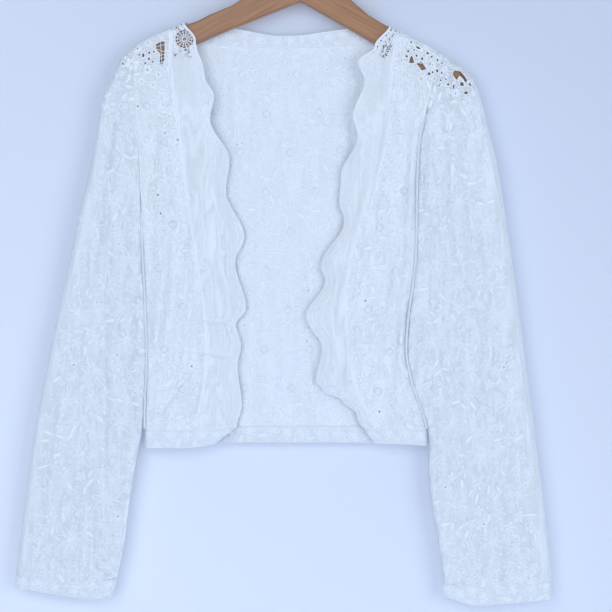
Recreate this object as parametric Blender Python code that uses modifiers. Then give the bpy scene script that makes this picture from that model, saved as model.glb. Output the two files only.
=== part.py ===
"""Lace bolero shrug on a wooden hanger, hung up by the hook.

The origin is the inner top of the hook, the garment's front faces -Y and +Z is up.
Tables are in millimetres: drop is the distance below the origin, x is to the viewer's
right. Left and right are as seen from the front.
"""

import math

import bmesh
import bpy
import numpy as np

MM = 0.001

# Cloth
LACE_WALL = 1.2
BAND_WALL = 1.6
SEAM_GAP = 0.3
EDGE_DEPTH = 0.3
FOLD_RADIUS = 9.0
UNDERARM_RADIUS = 7.0
ROUNDING = 2.3
GRID_WIDTH = 15.0
GRID_HEIGHT = 25.0
WIDE_GRID = 17.0
EDGE_STEPS = (0.0, 0.3, 2.5, 8.0)
SLEEVE_CAP_ROWS = (0, 7, 14, 22, 32, 44, 58, 76)
GAP_HALF = 5.2

# Hanger, in its own upright frame, before it is tilted about the hook
HANGER_TILT = math.radians(4.0)
WOOD_THICK = 12.5
WOOD_ROUND = 5.0
HOOK_WIRE = 3.4
HOOK_INNER = 20.0
HOOK_SHANK_BEND = 52.0

# Upper edge of the wood from its middle to one end, then its lower edge: across, drop
WOOD_UPPER = (
    (0, 74), (24, 76), (43, 86), (61, 100), (82, 116), (108, 129), (121, 137),
    (154, 151), (177, 163), (197, 176.5), (206, 187), (212, 199),
)
WOOD_LOWER = (
    (210, 205.5), (204, 209.5), (197, 208), (180, 197), (150, 179), (112, 160), (91, 149),
    (48, 128), (0, 105),
)

# Cloth's top outline over each shoulder, from the neck, then the sleeve's outer fold: x, drop
RIM_LEFT = (
    (-147, 129), (-164, 137), (-188, 147.2), (-206, 157.8), (-213, 162), (-218, 167), (-223, 173),
    (-227, 180), (-230.5, 188), (-233.5, 197), (-238, 206), (-243, 214), (-247, 230), (-250, 248),
    (-256, 284), (-264, 320), (-273, 356), (-280, 392), (-296, 464), (-311, 536), (-325, 608),
    (-336, 680), (-345, 752), (-350, 793),
)
RIM_RIGHT = (
    (99, 133), (112, 140.5), (129, 150.5), (146, 158.3), (157, 165), (169.5, 171.7), (182.5, 180.7),
    (191.5, 188), (200, 198.7), (206, 212), (211.5, 230), (218, 259), (228, 296), (234, 332),
    (245, 404), (255, 476), (264, 548), (274, 620), (283, 692), (291, 764), (294, 801),
)

# Seam of the armhole, then the side of the body: drop, x
BODY_LEFT = (
    (157.8, -206), (200, -207), (246, -204), (296, -201), (344, -199), (404, -197),
    (464, -194), (536, -192), (584, -194), (642, -195),
)
BODY_RIGHT = (
    (165, 157), (200, 151), (236, 143), (272, 135), (320, 132), (404, 131), (452, 126),
    (488, 121), (524, 119), (560, 125), (590, 135), (621, 144), (642, 145),
)

# Inner edge of each sleeve: the armhole seam, then the underarm seam: drop, x
SLEEVE_LEFT = (
    (157.8, -206.6), (200, -207.6), (246, -204.6), (296, -201.6), (344, -199.8), (404, -198),
    (464, -195), (536, -193), (584, -195), (620, -197.5), (656, -205), (704, -213),
    (752, -219), (797.5, -228),
)
SLEEVE_RIGHT = (
    (165, 157.6), (200, 151.6), (236, 143.6), (272, 135.6), (320, 132.8), (404, 132), (452, 127),
    (488, 122), (524, 120), (560, 126), (590, 136), (621, 145.8), (639, 147.5), (656, 146.5),
    (692, 148), (740, 156), (788, 163), (803, 164),
)
SLEEVE_SPLIT = 250.0

# Seam between the flowered lace and the scalloped edging: drop, x
LACE_LEFT = (
    (136, -162), (176, -164), (224, -158), (284, -151), (344, -143), (404, -135), (464, -125),
    (512, -119), (548, -122), (584, -128), (642, -140),
)
LACE_RIGHT = (
    (140.5, 112), (176, 103), (224, 99), (272, 94), (308, 85), (344, 73), (380, 61), (416, 52),
    (464, 47), (512, 49), (548, 54), (584, 66), (602, 78), (642, 93),
)

# Peaks and hollows of the scalloped front edges: drop, x
SCALLOP_LEFT = (
    (129, -147), (152, -133), (195, -122), (220, -111), (246, -116), (296, -93), (332, -97),
    (388, -75), (418, -86), (474, -73), (493, -85), (518, -79), (543, -83), (590, -78),
    (616, -84), (642, -112),
)
SCALLOP_RIGHT = (
    (133, 99), (160, 81), (178, 61), (201, 69), (243, 55), (267, 61), (315, 41), (346, 39),
    (368, 45), (424, 17), (440, 22), (484, -1), (522, 18), (561, 11), (573, 20), (585, 43),
    (601, 60), (642, 80),
)

# Back neck: upper edge of the band, and the seam below it: x, drop
NECK_TOP = (
    (-147, 129), (-122, 132), (-92, 135), (-72, 138), (-57, 141), (-35, 144), (-9, 143.5),
    (16, 140), (46, 136), (76, 132), (99, 133),
)
NECK_SEAM = (
    (-162, 136), (-152, 143), (-138, 150), (-122, 154), (-93, 157), (-57, 159.5), (-31, 160),
    (16, 159), (49, 156), (73, 153.5), (94, 150), (106, 145), (112, 140.5),
)

# Seam above the hem, and the hem's lower edge: x, drop
HEM_SEAM_LEFT = ((-195, 620), (-150, 620), (-84, 617))
HEM_SEAM_RIGHT = ((65, 617), (100, 619), (144, 619))
HEM_SEAM_BACK = ((-195, 620), (-100, 617), (0, 617), (144, 619))
HEM_END_LEFT = ((-195, 642), (-147, 642), (-110, 637))
HEM_END_RIGHT = ((75, 636), (110, 637), (145, 639))
HEM_END_BACK = ((-195, 641), (-107, 636), (46, 636), (145, 638))

# Cuffs: seam and lower edge: x, drop
CUFF_SEAM_LEFT = ((-228, 797.5), (-254, 801), (-281, 803), (-350, 793))
CUFF_END_LEFT = ((-234, 821), (-256, 824), (-300, 818), (-352, 809.5))
CUFF_SEAM_RIGHT = ((164, 803), (205, 808), (250, 806), (294, 801))
CUFF_END_RIGHT = ((162, 819), (205, 831), (250, 828), (295, 824))

# How far the cloth stands from the middle plane: drop, front, back
BODY_DEPTH = ((120, 10, 10), (235, 10, 10), (320, 8.5, 7.5), (480, 8.5, 7), (640, 7.5, 6.5))
SLEEVE_DEPTH = ((120, 10, 10), (235, 10, 10), (330, 9.5, 8.5), (620, 9, 8), (825, 7.5, 7))
EDGING_FALL = 4.0
BACK_RISE = 1.5

# How far front and back have closed to each other at the underarm and side: drop, closed
CLOSED_LEFT = ((330, 0.0), (355, 0.35), (400, 1.0))
CLOSED_RIGHT = ((240, 0.0), (285, 0.75), (345, 0.8), (400, 1.0))
CLOSED_BACK = ((330, 0.0), (400, 1.0))

# Folds: drop and x at the top, drop and x at the bottom, half width, height towards the outside
BODY_FOLDS_FRONT = (
    (225, -172, 540, -180, 8, 3.0),
    (240, -150, 560, -166, 9, -3.2),
    (410, -122, 560, -124, 8, 2.2),
    (540, -122, 626, -146, 7, -3.2),
    (560, -152, 640, -172, 8, 2.4),
    (236, 98, 400, 84, 8, 2.6),
    (240, 116, 420, 104, 8, -2.8),
    (235, 136, 380, 124, 6, 2.4),
    (400, 76, 560, 54, 9, 2.4),
    (420, 96, 600, 74, 9, -3.0),
    (440, 112, 600, 116, 7, 2.2),
    (560, 100, 640, 124, 8, -2.0),
)
BODY_FOLDS_BACK = (
    (250, -120, 600, -128, 12, 2.2),
    (240, -70, 560, -84, 12, -1.8),
    (300, -20, 620, -30, 13, 1.6),
    (250, 30, 600, 20, 12, -1.8),
    (260, 78, 610, 84, 11, 2.0),
    (380, -160, 630, -158, 10, -2.0),
    (380, 112, 630, 110, 9, -1.6),
)
SLEEVE_FOLDS_FRONT = (
    (240, -236, 470, -262, 7, -2.6),
    (250, -221, 560, -244, 8, 2.4),
    (400, -258, 620, -246, 8, -2.8),
    (430, -276, 700, -306, 9, 2.2),
    (560, -226, 790, -248, 9, 2.6),
    (600, -262, 790, -286, 9, -2.6),
    (640, -300, 800, -326, 8, 2.0),
    (500, -214, 760, -234, 7, -2.2),
    (250, 176, 470, 196, 8, -2.8),
    (300, 150, 520, 158, 7, 2.4),
    (330, 206, 560, 232, 9, 2.2),
    (430, 186, 720, 206, 9, -2.8),
    (520, 166, 790, 196, 8, 2.4),
    (520, 222, 790, 252, 9, 2.6),
    (600, 246, 800, 268, 8, -2.4),
    (560, 206, 800, 224, 7, -2.0),
)
SLEEVE_FOLDS_BACK = (
    (260, -228, 560, -262, 9, 2.2),
    (420, -246, 760, -284, 10, -2.2),
    (560, -226, 790, -250, 9, 2.0),
    (520, -280, 780, -318, 9, -1.8),
    (260, 186, 560, 208, 9, 2.2),
    (420, 166, 760, 196, 10, -2.2),
    (560, 226, 790, 244, 9, 2.0),
    (520, 240, 780, 268, 9, -1.8),
)

COLOURS = {
    "lace": (0.86, 0.89, 0.93),
    "net": (0.80, 0.85, 0.91),
    "band": (0.88, 0.91, 0.95),
    "wood": (0.42, 0.21, 0.09),
    "steel": (0.72, 0.72, 0.73),
}


def clear_scene():
    for old in list(bpy.data.objects):
        bpy.data.objects.remove(old)


def material_for(name, colour, roughness=0.8, metallic=0.0):
    material = bpy.data.materials.new(name)
    material.use_nodes = True
    shader = material.node_tree.nodes["Principled BSDF"]
    shader.inputs["Base Color"].default_value = (*COLOURS[colour], 1.0)
    shader.inputs["Roughness"].default_value = roughness
    shader.inputs["Metallic"].default_value = metallic
    return material


def add_part(name, data, colour, roughness=0.8, metallic=0.0):
    part = bpy.data.objects.new(name, data)
    bpy.data.collections["bolero_on_hanger"].objects.link(part)
    data.materials.append(material_for(name, colour, roughness, metallic))
    return part


# Curves from tables


def smooth(table, at, column=1):
    """A smooth curve through a table's rows, read at any value of its first column."""
    knots = np.array([row[0] for row in table], float)
    values = np.array([row[column] for row in table], float)
    rises = np.diff(values) / np.diff(knots)
    before, after = rises[:-1], rises[1:]
    turning = before * after <= 0
    inner = np.where(turning, 0, 2 * before * after / np.where(turning, 1, before + after))
    slopes = np.concatenate([rises[:1], inner, rises[-1:]])
    at = np.clip(at, knots[0], knots[-1])
    low = np.clip(np.searchsorted(knots, at) - 1, 0, len(knots) - 2)
    span = knots[low + 1] - knots[low]
    t = (at - knots[low]) / span
    start = (1 + 2 * t) * (1 - t) ** 2 * values[low] + t * (1 - t) ** 2 * span * slopes[low]
    end = t * t * (3 - 2 * t) * values[low + 1] - t * t * (1 - t) * span * slopes[low + 1]
    return start + end


def waved(table, at):
    """Rounded peaks and hollows through a table's rows."""
    knots, values = np.array(table, float).T
    at = np.clip(at, knots[0], knots[-1])
    low = np.clip(np.searchsorted(knots, at) - 1, 0, len(knots) - 2)
    t = (at - knots[low]) / (knots[low + 1] - knots[low])
    return values[low] + (values[low + 1] - values[low]) * (1 - np.cos(math.pi * t)) / 2


def along(points, t):
    """The point at each share t of a polyline's length."""
    points = np.array(points, float)
    reach = np.concatenate([[0], np.cumsum(np.hypot(*np.diff(points, axis=0).T))])
    return np.stack([np.interp(t * reach[-1], reach, points[:, i]) for i in (0, 1)], axis=-1)


def side_line(table, start, end, read=smooth, count=60):
    """Points (x, drop) down a table of drop and x."""
    drops = np.linspace(start, end, count)
    return np.stack([read(table, drops), drops], axis=-1)


def level_line(table, start, end, count=40):
    """Points (x, drop) across a table of x and drop, in either direction."""
    table = sorted(table)
    x = np.linspace(start, end, count)
    return np.stack([x, smooth(table, x)], axis=-1)


def distance_to(points, x, drop):
    """The distance of each (x, drop) from a polyline."""
    points = np.array(points, float)
    best = np.full(np.shape(x), 1e9)
    for (ax, ad), (bx, bd) in zip(points[:-1], points[1:]):
        along_x, along_d = bx - ax, bd - ad
        t = ((x - ax) * along_x + (drop - ad) * along_d) / (along_x**2 + along_d**2)
        t = np.clip(t, 0, 1)
        best = np.minimum(best, np.hypot(x - ax - t * along_x, drop - ad - t * along_d))
    return best


def rounded(distance, radius):
    """0 on an edge, 1 from one radius inside it."""
    share = 1 - np.clip(distance / radius, 0, 1)
    return np.clip(1 - share**ROUNDING, 0, 1) ** (1 / ROUNDING)


# Where the cloth lies


def folds_at(folds, x, drop):
    """Sum of the folds' heights, each fading at its two ends."""
    height = np.zeros(np.shape(x))
    for top, x_top, bottom, x_bottom, half_width, rise in folds:
        t = (drop - top) / (bottom - top)
        middle = x_top + (x_bottom - x_top) * t
        fade = np.sin(math.pi * np.clip(t, 0, 1)) ** 0.6
        height = height + rise * fade * np.exp(-(((x - middle) / half_width) ** 2))
    return height


def rim_closure(x, drop):
    nearest = np.minimum(distance_to(RIM_LEFT, x, drop), distance_to(RIM_RIGHT, x, drop))
    return rounded(nearest, FOLD_RADIUS)


def side_closure(x, drop, sides, closed):
    """Closes front and back to each other at the body's sides or the sleeves' inner edges."""
    closure = np.ones(np.shape(x))
    for side, table in zip(sides, closed):
        gap = np.abs(x - smooth(side, drop))
        shut = np.interp(drop, *np.array(table).T)
        closure = closure * (1 - shut * (1 - rounded(gap, UNDERARM_RADIUS)))
    return closure


def standing(depth, closure):
    return EDGE_DEPTH + (depth - EDGE_DEPTH) * closure


def body_front(x, drop):
    depth = smooth(BODY_DEPTH, drop, 1) + folds_at(BODY_FOLDS_FRONT, x, drop)
    depth = depth - EDGING_FALL * edging_share(x, drop) ** 1.5
    closure = side_closure(x, drop, (BODY_LEFT, BODY_RIGHT), (CLOSED_LEFT, CLOSED_RIGHT))
    return -standing(depth, closure * rim_closure(x, drop))


def body_back(x, drop):
    depth = smooth(BODY_DEPTH, drop, 2) + folds_at(BODY_FOLDS_BACK, x, drop)
    centre = np.exp(-(((x + 20) / 80) ** 2)) * np.clip((drop - 190) / 90, 0, 1)
    depth = depth - BACK_RISE * centre
    closure = side_closure(x, drop, (BODY_LEFT, BODY_RIGHT), (CLOSED_BACK, CLOSED_BACK))
    return standing(depth, closure * rim_closure(x, drop))


def sleeve_front(x, drop):
    depth = smooth(SLEEVE_DEPTH, drop, 1) + folds_at(SLEEVE_FOLDS_FRONT, x, drop)
    closure = side_closure(x, drop, (SLEEVE_LEFT, SLEEVE_RIGHT), (CLOSED_LEFT, CLOSED_RIGHT))
    return -standing(depth, closure * rim_closure(x, drop))


def sleeve_back(x, drop):
    depth = smooth(SLEEVE_DEPTH, drop, 2) + folds_at(SLEEVE_FOLDS_BACK, x, drop)
    closure = side_closure(x, drop, (SLEEVE_LEFT, SLEEVE_RIGHT), (CLOSED_BACK, CLOSED_BACK))
    return standing(depth, closure * rim_closure(x, drop))


def edging_share(x, drop):
    """0 on the flowered lace, 1 at the scalloped edge; the edging falls back by this share."""
    left = (x - smooth(LACE_LEFT, drop)) / (waved(SCALLOP_LEFT, drop) - smooth(LACE_LEFT, drop))
    right = (smooth(LACE_RIGHT, drop) - x) / (smooth(LACE_RIGHT, drop) - waved(SCALLOP_RIGHT, drop))
    share = np.where(x < -20, left, right)
    return np.clip(share, 0, 1) * np.clip((drop - 215) / 60, 0, 1)


# Building a wall of cloth


def steps(length, spacing, close_start, close_end):
    """Shares from 0 to 1, close together where the cloth turns over at an edge."""
    count = max(2, round(length / spacing))
    first = EDGE_STEPS[-1] if close_start else 0
    last = EDGE_STEPS[-1] if close_end else 0
    middle = np.linspace(first, length - last, count + 1)
    start = EDGE_STEPS[:-1] if close_start else ()
    end = [length - step for step in reversed(EDGE_STEPS[:-1])] if close_end else ()
    return np.concatenate([start, middle, end]) / length


def patch(top, bottom, first, second):
    """A Coons patch's (x, drop) by row and column, from the points along its four edges."""
    across = np.hypot(*np.diff(top, axis=0).T)
    down = np.hypot(*np.diff(second, axis=0).T)
    u = (np.concatenate([[0], np.cumsum(across)]) / across.sum())[None, :, None]
    v = (np.concatenate([[0], np.cumsum(down)]) / down.sum())[:, None, None]
    between = (1 - v) * top[None] + v * bottom[None]
    between = between + (1 - u) * first[:, None] + u * second[:, None]
    upper = (1 - u) * top[0] + u * top[-1]
    lower = (1 - u) * bottom[0] + u * bottom[-1]
    return between - (1 - v) * upper - v * lower


def cloth_wall(name, edges, depth_at, wall, colour):
    """An open sheet on a grid, cut through at its lace gaps, then given its wall inwards."""
    flat = patch(*[np.array(edge, float) for edge in edges])
    row_count, column_count = flat.shape[:2]
    sheet = bmesh.new()
    bmesh.ops.create_grid(sheet, x_segments=column_count - 1, y_segments=row_count - 1, size=1)
    grid = np.array([vert.co[:2] for vert in sheet.verts])
    columns = np.rint((grid[:, 0] + 1) / 2 * (column_count - 1)).astype(int)
    rows = np.rint((1 - grid[:, 1]) / 2 * (row_count - 1)).astype(int)
    x, drop = flat[rows, columns].T
    depth = depth_at(x, drop)
    for vert, place in zip(sheet.verts, zip(x * MM, depth * MM, -drop * MM)):
        vert.co = place
    sheet.normal_update()
    facing = sum(face.normal.y * face.calc_area() for face in sheet.faces)
    if facing * depth.mean() < 0:
        bmesh.ops.reverse_faces(sheet, faces=sheet.faces)
    if colour == "lace":
        cut_gaps(sheet, zip(columns, rows))
    mesh = bpy.data.meshes.new(name)
    sheet.to_mesh(mesh)
    sheet.free()
    mesh.shade_smooth()
    part = add_part(name, mesh, colour)
    solid = part.modifiers.new("Wall", "SOLIDIFY")
    solid.thickness = wall * MM
    solid.offset = -1


def cut_gaps(sheet, places):
    """Opens a four-cornered gap at every second crossing of the lace's repeat."""
    chosen = []
    for vert, (column, row) in zip(list(sheet.verts), places):
        on_repeat = row % 2 == 0 and (column + row) % 4 == 2
        shortest = min(edge.calc_length() for edge in vert.link_edges)
        if on_repeat and not vert.is_boundary and shortest > 1.6 * GAP_HALF * MM:
            chosen.append(vert)
    opened = bmesh.ops.bevel(
        sheet, geom=chosen, offset=GAP_HALF * MM, offset_type="OFFSET", segments=1,
        profile=0.5, affect="VERTICES", clamp_overlap=False, material=-1,
    )
    bmesh.ops.delete(sheet, geom=opened["faces"], context="FACES")


def shoulder_part(rim, start_x, end_x):
    """The stretch of a shoulder outline between two x, with its own points kept."""
    low, high = sorted((start_x, end_x))
    table = sorted(rim[:5])
    inner = [point for point in table if low < point[0] < high]
    ends = [(x, float(np.interp(x, *np.array(table).T))) for x in (low, high)]
    line = [ends[0], *inner, ends[1]]
    return line if start_x < end_x else line[::-1]


def halved(points, parts):
    """Each stretch between two points cut into equal parts."""
    points = np.array(points, float)
    shares = np.arange(parts) / parts
    cut = points[:-1, None] * (1 - shares[:, None]) + points[1:, None] * shares[:, None]
    return np.concatenate([cut.reshape(-1, 2), points[-1:]])


# Sub-parts


def make_fronts():
    sides = (
        ("left", RIM_LEFT, BODY_LEFT, LACE_LEFT, SCALLOP_LEFT, HEM_SEAM_LEFT, SEAM_GAP),
        ("right", RIM_RIGHT, BODY_RIGHT, LACE_RIGHT, SCALLOP_RIGHT, HEM_SEAM_RIGHT, -SEAM_GAP),
    )
    across = steps(70, GRID_WIDTH, True, False)
    down = steps(470, GRID_HEIGHT, True, False)
    for side, rim, body, lace, scallop, hem, gap in sides:
        shoulder = shoulder_part(rim, body[0][1], lace[0][1] - 2 * gap)
        ends = [float(smooth(sorted(hem), smooth(line, 619))) for line in (body, lace)]
        outer = along(side_line(body, shoulder[0][1], ends[0] - SEAM_GAP), down)
        seam = along(side_line(lace, lace[0][0], ends[1] - SEAM_GAP), down)
        bottom = along(level_line(hem, outer[-1][0], seam[-1][0]) - (0, SEAM_GAP), across)
        top = along(shoulder, across)
        inner = seam - (2 * gap, 0)
        inner[0], bottom[-1] = top[-1], inner[-1]
        top[0], bottom[0] = outer[0], outer[-1]
        edges = (top, bottom, outer, inner)
        cloth_wall(f"front_{side}", edges, body_front, LACE_WALL, "lace")
        make_edging(side, rim, seam, scallop, hem)


def make_edging(side, rim, seam, scallop, hem):
    """The sheer strip along the front, with its scalloped free edge."""
    shoulder = shoulder_part(rim, seam[0][0], scallop[0][1])
    close = len(EDGE_STEPS) - 1
    seam = np.concatenate([seam[:close], halved(seam[close:], 3)])
    reach = np.concatenate([[0], np.cumsum(np.hypot(*np.diff(seam, axis=0).T))])
    end = float(smooth(sorted(hem), waved(scallop, 618))) - SEAM_GAP
    edge = along(side_line(scallop, shoulder[-1][1], end, waved, 200), reach / reach[-1])
    across = np.linspace(0, 1, 4)
    top = along(shoulder, across)
    bottom = along(level_line(hem, seam[-1][0], edge[-1][0]) - (0, SEAM_GAP), across)
    top[0], top[-1], bottom[0], bottom[-1] = seam[0], edge[0], seam[-1], edge[-1]
    cloth_wall(f"edging_{side}", (top, bottom, seam, edge), body_front, LACE_WALL, "net")


def make_back():
    left = shoulder_part(RIM_LEFT, BODY_LEFT[0][1], NECK_SEAM[0][0])
    right = shoulder_part(RIM_RIGHT, NECK_SEAM[-1][0], BODY_RIGHT[0][1])
    neck = level_line(NECK_SEAM, NECK_SEAM[0][0], NECK_SEAM[-1][0], 50) + (0, 2 * SEAM_GAP)
    neck[0], neck[-1] = left[-1], right[0]
    parts = ((left, 50, True, False), (neck, 280, True, True), (right, 50, False, True))
    spans = [along(line, steps(length, WIDE_GRID, *close)) for line, length, *close in parts]
    top = np.concatenate([spans[0][:-1], spans[1][:-1], spans[2]])
    down = steps(470, GRID_HEIGHT, True, False)
    first = along(side_line(BODY_LEFT, top[0][1], HEM_SEAM_BACK[0][1] - SEAM_GAP), down)
    second = along(side_line(BODY_RIGHT, top[-1][1], HEM_SEAM_BACK[-1][1] - SEAM_GAP), down)
    first[0], second[0] = top[0], top[-1]
    reach = np.concatenate([[0], np.cumsum(np.hypot(*np.diff(top, axis=0).T))])
    bottom = along(level_line(HEM_SEAM_BACK, first[-1][0], second[-1][0]), reach / reach[-1])
    bottom = bottom - (0, SEAM_GAP)
    bottom[0], bottom[-1] = first[-1], second[-1]
    edges = (top, bottom, first, second)
    cloth_wall("back_panel", edges, body_back, LACE_WALL, "lace")


def make_neckband():
    across = steps(265, 13, True, True)
    upper = along(level_line(NECK_TOP, NECK_TOP[0][0], NECK_TOP[-1][0], 60), across)
    lower = along(level_line(NECK_SEAM, NECK_SEAM[0][0], NECK_SEAM[-1][0], 60), across)
    down = np.linspace(0, 1, 4)
    first = along([upper[0], lower[0]], down)
    second = along([upper[-1], lower[-1]], down)
    cloth_wall("neckband", (upper, lower, first, second), body_back, BAND_WALL, "band")


def make_hems():
    rows = (
        ("hem_left", BODY_LEFT, SCALLOP_LEFT, HEM_SEAM_LEFT, HEM_END_LEFT, body_front),
        ("hem_right", BODY_RIGHT, SCALLOP_RIGHT, HEM_SEAM_RIGHT, HEM_END_RIGHT, body_front),
        ("hem_back", BODY_LEFT, BODY_RIGHT, HEM_SEAM_BACK, HEM_END_BACK, body_back),
    )
    for name, side, other, seam, end, depth_at in rows:
        read = smooth if name == "hem_back" else waved
        width = abs(float(smooth(side, 620)) - float(read(other, 620)))
        across = steps(width, 13, True, name == "hem_back")
        lines = []
        for line, level in ((seam, 619), (end, 638)):
            start, finish = float(smooth(side, level)), float(read(other, level))
            lines.append(along(level_line(line, start, finish), across))
        top, bottom = lines
        down = np.linspace(0, 1, 3)
        first = along([top[0], bottom[0]], down)
        second = along([top[-1], bottom[-1]], down)
        cloth_wall(name, (top, bottom, first, second), depth_at, BAND_WALL, "band")


def make_sleeves():
    rows = (
        ("left", RIM_LEFT, SLEEVE_LEFT, CUFF_SEAM_LEFT),
        ("right", RIM_RIGHT, SLEEVE_RIGHT, CUFF_SEAM_RIGHT),
    )
    across = steps(100, WIDE_GRID, True, True)
    down = np.concatenate([SLEEVE_CAP_ROWS, np.linspace(98, 620, 21)]) / 620
    for side, rim, inner_table, cuff in rows:
        start = inner_table[0]
        outer = [point for point in rim if abs(point[0]) > abs(start[1])]
        outer[-1] = (outer[-1][0], outer[-1][1] - SEAM_GAP)
        outer.insert(0, (start[1], start[0]))
        outer = along(outer, down)
        seam = along(side_line(inner_table, start[0], SLEEVE_SPLIT)[::-1], across)
        inner = along(side_line(inner_table, SLEEVE_SPLIT, cuff[0][1] - SEAM_GAP), down)
        bottom = along(level_line(cuff, inner[-1][0], outer[-1][0]) - (0, SEAM_GAP), across)
        seam[0], seam[-1] = inner[0], outer[0]
        bottom[0], bottom[-1] = inner[-1], outer[-1]
        edges = (seam, bottom, inner, outer)
        for face, depth_at in (("front", sleeve_front), ("back", sleeve_back)):
            name = f"sleeve_{side}_{face}"
            cloth_wall(name, edges, depth_at, LACE_WALL, "lace")


def make_cuffs():
    """Each cuff is one tube: a ring of points swept from the sleeve's seam to the free edge."""
    rows = (("left", CUFF_SEAM_LEFT, CUFF_END_LEFT), ("right", CUFF_SEAM_RIGHT, CUFF_END_RIGHT))
    ring_count = 32
    for side, seam, end in rows:
        tube = bmesh.new()
        ring = bmesh.ops.create_circle(tube, segments=ring_count, radius=1)["verts"]
        rings = [ring]
        for _ in range(2):
            edges = [edge for edge in tube.edges if all(vert in rings[-1] for vert in edge.verts)]
            made = bmesh.ops.extrude_edge_only(tube, edges=edges)
            rings.append([item for item in made["geom"] if isinstance(item, bmesh.types.BMVert)])
        for level, verts in enumerate(rings):
            share = level / (len(rings) - 1)
            for vert in verts:
                vert.co = cuff_point(math.atan2(vert.co.y, vert.co.x), seam, end, share)
        bmesh.ops.recalc_face_normals(tube, faces=tube.faces)
        mesh = bpy.data.meshes.new(f"cuff_{side}")
        tube.to_mesh(mesh)
        tube.free()
        mesh.shade_smooth()
        part = add_part(f"cuff_{side}", mesh, "band")
        solid = part.modifiers.new("Wall", "SOLIDIFY")
        solid.thickness = BAND_WALL * MM
        solid.offset = -1


def cuff_point(angle, seam, end, share):
    """A point of the flattened ring, between the seam's level and the free edge's."""
    flatten = 2 / 3.0
    reach = math.copysign(abs(math.cos(angle)) ** flatten, math.cos(angle))
    depth = math.copysign(abs(math.sin(angle)) ** flatten, math.sin(angle))
    levels = []
    for table, gap in ((seam, SEAM_GAP), (end, 0)):
        first, last = table[0][0], table[-1][0]
        x = (first + last) / 2 + reach * (last - first) / 2
        levels.append((x, float(smooth(sorted(table), x)) + gap))
    x = levels[0][0] + (levels[1][0] - levels[0][0]) * share
    drop = levels[0][1] + (levels[1][1] - levels[0][1]) * share
    half = SLEEVE_DEPTH[-1][1] if depth < 0 else SLEEVE_DEPTH[-1][2]
    return (x * MM, depth * half * MM, -drop * MM)


def tilted(across, drop):
    """From the hanger's upright frame to the hung one, in metres."""
    cos, sin = math.cos(HANGER_TILT), math.sin(HANGER_TILT)
    return (across * cos - drop * sin) * MM, (-across * sin - drop * cos) * MM


def make_wood():
    half = [*WOOD_UPPER, *WOOD_LOWER]
    outline = half + [(-x, drop) for x, drop in reversed(half[1:-1])]
    curve = bpy.data.curves.new("hanger_wood", "CURVE")
    curve.dimensions = "2D"
    curve.fill_mode = "BOTH"
    curve.extrude = WOOD_THICK / 2 * MM
    spline = curve.splines.new("POLY")
    spline.points.add(len(outline) - 1)
    spline.use_cyclic_u = True
    for point, (across, drop) in zip(spline.points, outline):
        x, z = tilted(across, drop)
        point.co = (x, z, 0, 1)
    wood = add_part("hanger_wood", curve, "wood", roughness=0.42)
    wood.rotation_euler = (math.pi / 2, 0, 0)
    weld = wood.modifiers.new("Join caps", "WELD")
    weld.merge_threshold = 0.00001
    bevel = wood.modifiers.new("Rounded edges", "BEVEL")
    bevel.width = WOOD_ROUND * MM
    bevel.segments = 3
    bevel.limit_method = "ANGLE"
    bevel.angle_limit = math.radians(60)


def make_hook():
    """A wire up from the wood, round the hook's loop, with a rounded tip."""
    radius = HOOK_INNER + HOOK_WIRE / 2
    centre = HOOK_INNER
    route = [(0, WOOD_UPPER[0][1] - SEAM_GAP), (0, 64), (0.4, HOOK_SHANK_BEND + 4), (3.5, 46.5)]
    start, end = -62, 205
    for step in range(18):
        angle = math.radians(start + (end - start) * step / 17)
        route.append((radius * math.cos(angle), centre - radius * math.sin(angle)))
    curve = bpy.data.curves.new("hanger_hook", "CURVE")
    curve.dimensions = "3D"
    curve.bevel_depth = HOOK_WIRE / 2 * MM
    curve.bevel_resolution = 2
    curve.use_fill_caps = True
    spline = curve.splines.new("POLY")
    spline.points.add(len(route) - 1)
    for point, (across, drop) in zip(spline.points, route):
        x, z = tilted(across, drop)
        point.co = (x, 0, z, 1)
    add_part("hanger_hook", curve, "steel", roughness=0.25, metallic=1.0)


def main():
    clear_scene()
    collection = bpy.data.collections.new("bolero_on_hanger")
    bpy.context.scene.collection.children.link(collection)
    make_wood()
    make_hook()
    make_back()
    make_neckband()
    make_fronts()
    make_sleeves()
    make_hems()
    make_cuffs()


main()
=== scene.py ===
"""Looks for a white lace bolero shrug that hangs on a wooden hanger.

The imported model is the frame. Fine cloth is laid on its walls here, with the lace's
flowers, cords, net, eyelets and scalloped edging, and the hanger gets its finish.
Tables are in millimetres, as in the part's source: drop is the distance below the hook's
inner top, x is to the viewer's right, and the garment's front faces -Y.
"""

import math
from collections import namedtuple

import bmesh
import bpy
import numpy as np
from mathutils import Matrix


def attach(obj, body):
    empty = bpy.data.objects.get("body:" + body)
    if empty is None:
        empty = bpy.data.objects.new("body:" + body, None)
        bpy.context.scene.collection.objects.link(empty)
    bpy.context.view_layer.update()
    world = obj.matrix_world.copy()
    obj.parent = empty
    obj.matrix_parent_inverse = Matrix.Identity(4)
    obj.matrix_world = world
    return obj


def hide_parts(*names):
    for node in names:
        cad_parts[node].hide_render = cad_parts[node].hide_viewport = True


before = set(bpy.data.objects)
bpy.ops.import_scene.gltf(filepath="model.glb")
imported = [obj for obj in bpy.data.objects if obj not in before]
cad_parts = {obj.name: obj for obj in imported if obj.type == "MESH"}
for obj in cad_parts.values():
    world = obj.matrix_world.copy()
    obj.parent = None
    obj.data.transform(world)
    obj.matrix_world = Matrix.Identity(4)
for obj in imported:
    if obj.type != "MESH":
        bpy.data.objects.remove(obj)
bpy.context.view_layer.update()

MM = 0.001
FRONT, BACK = -1, 1

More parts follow.
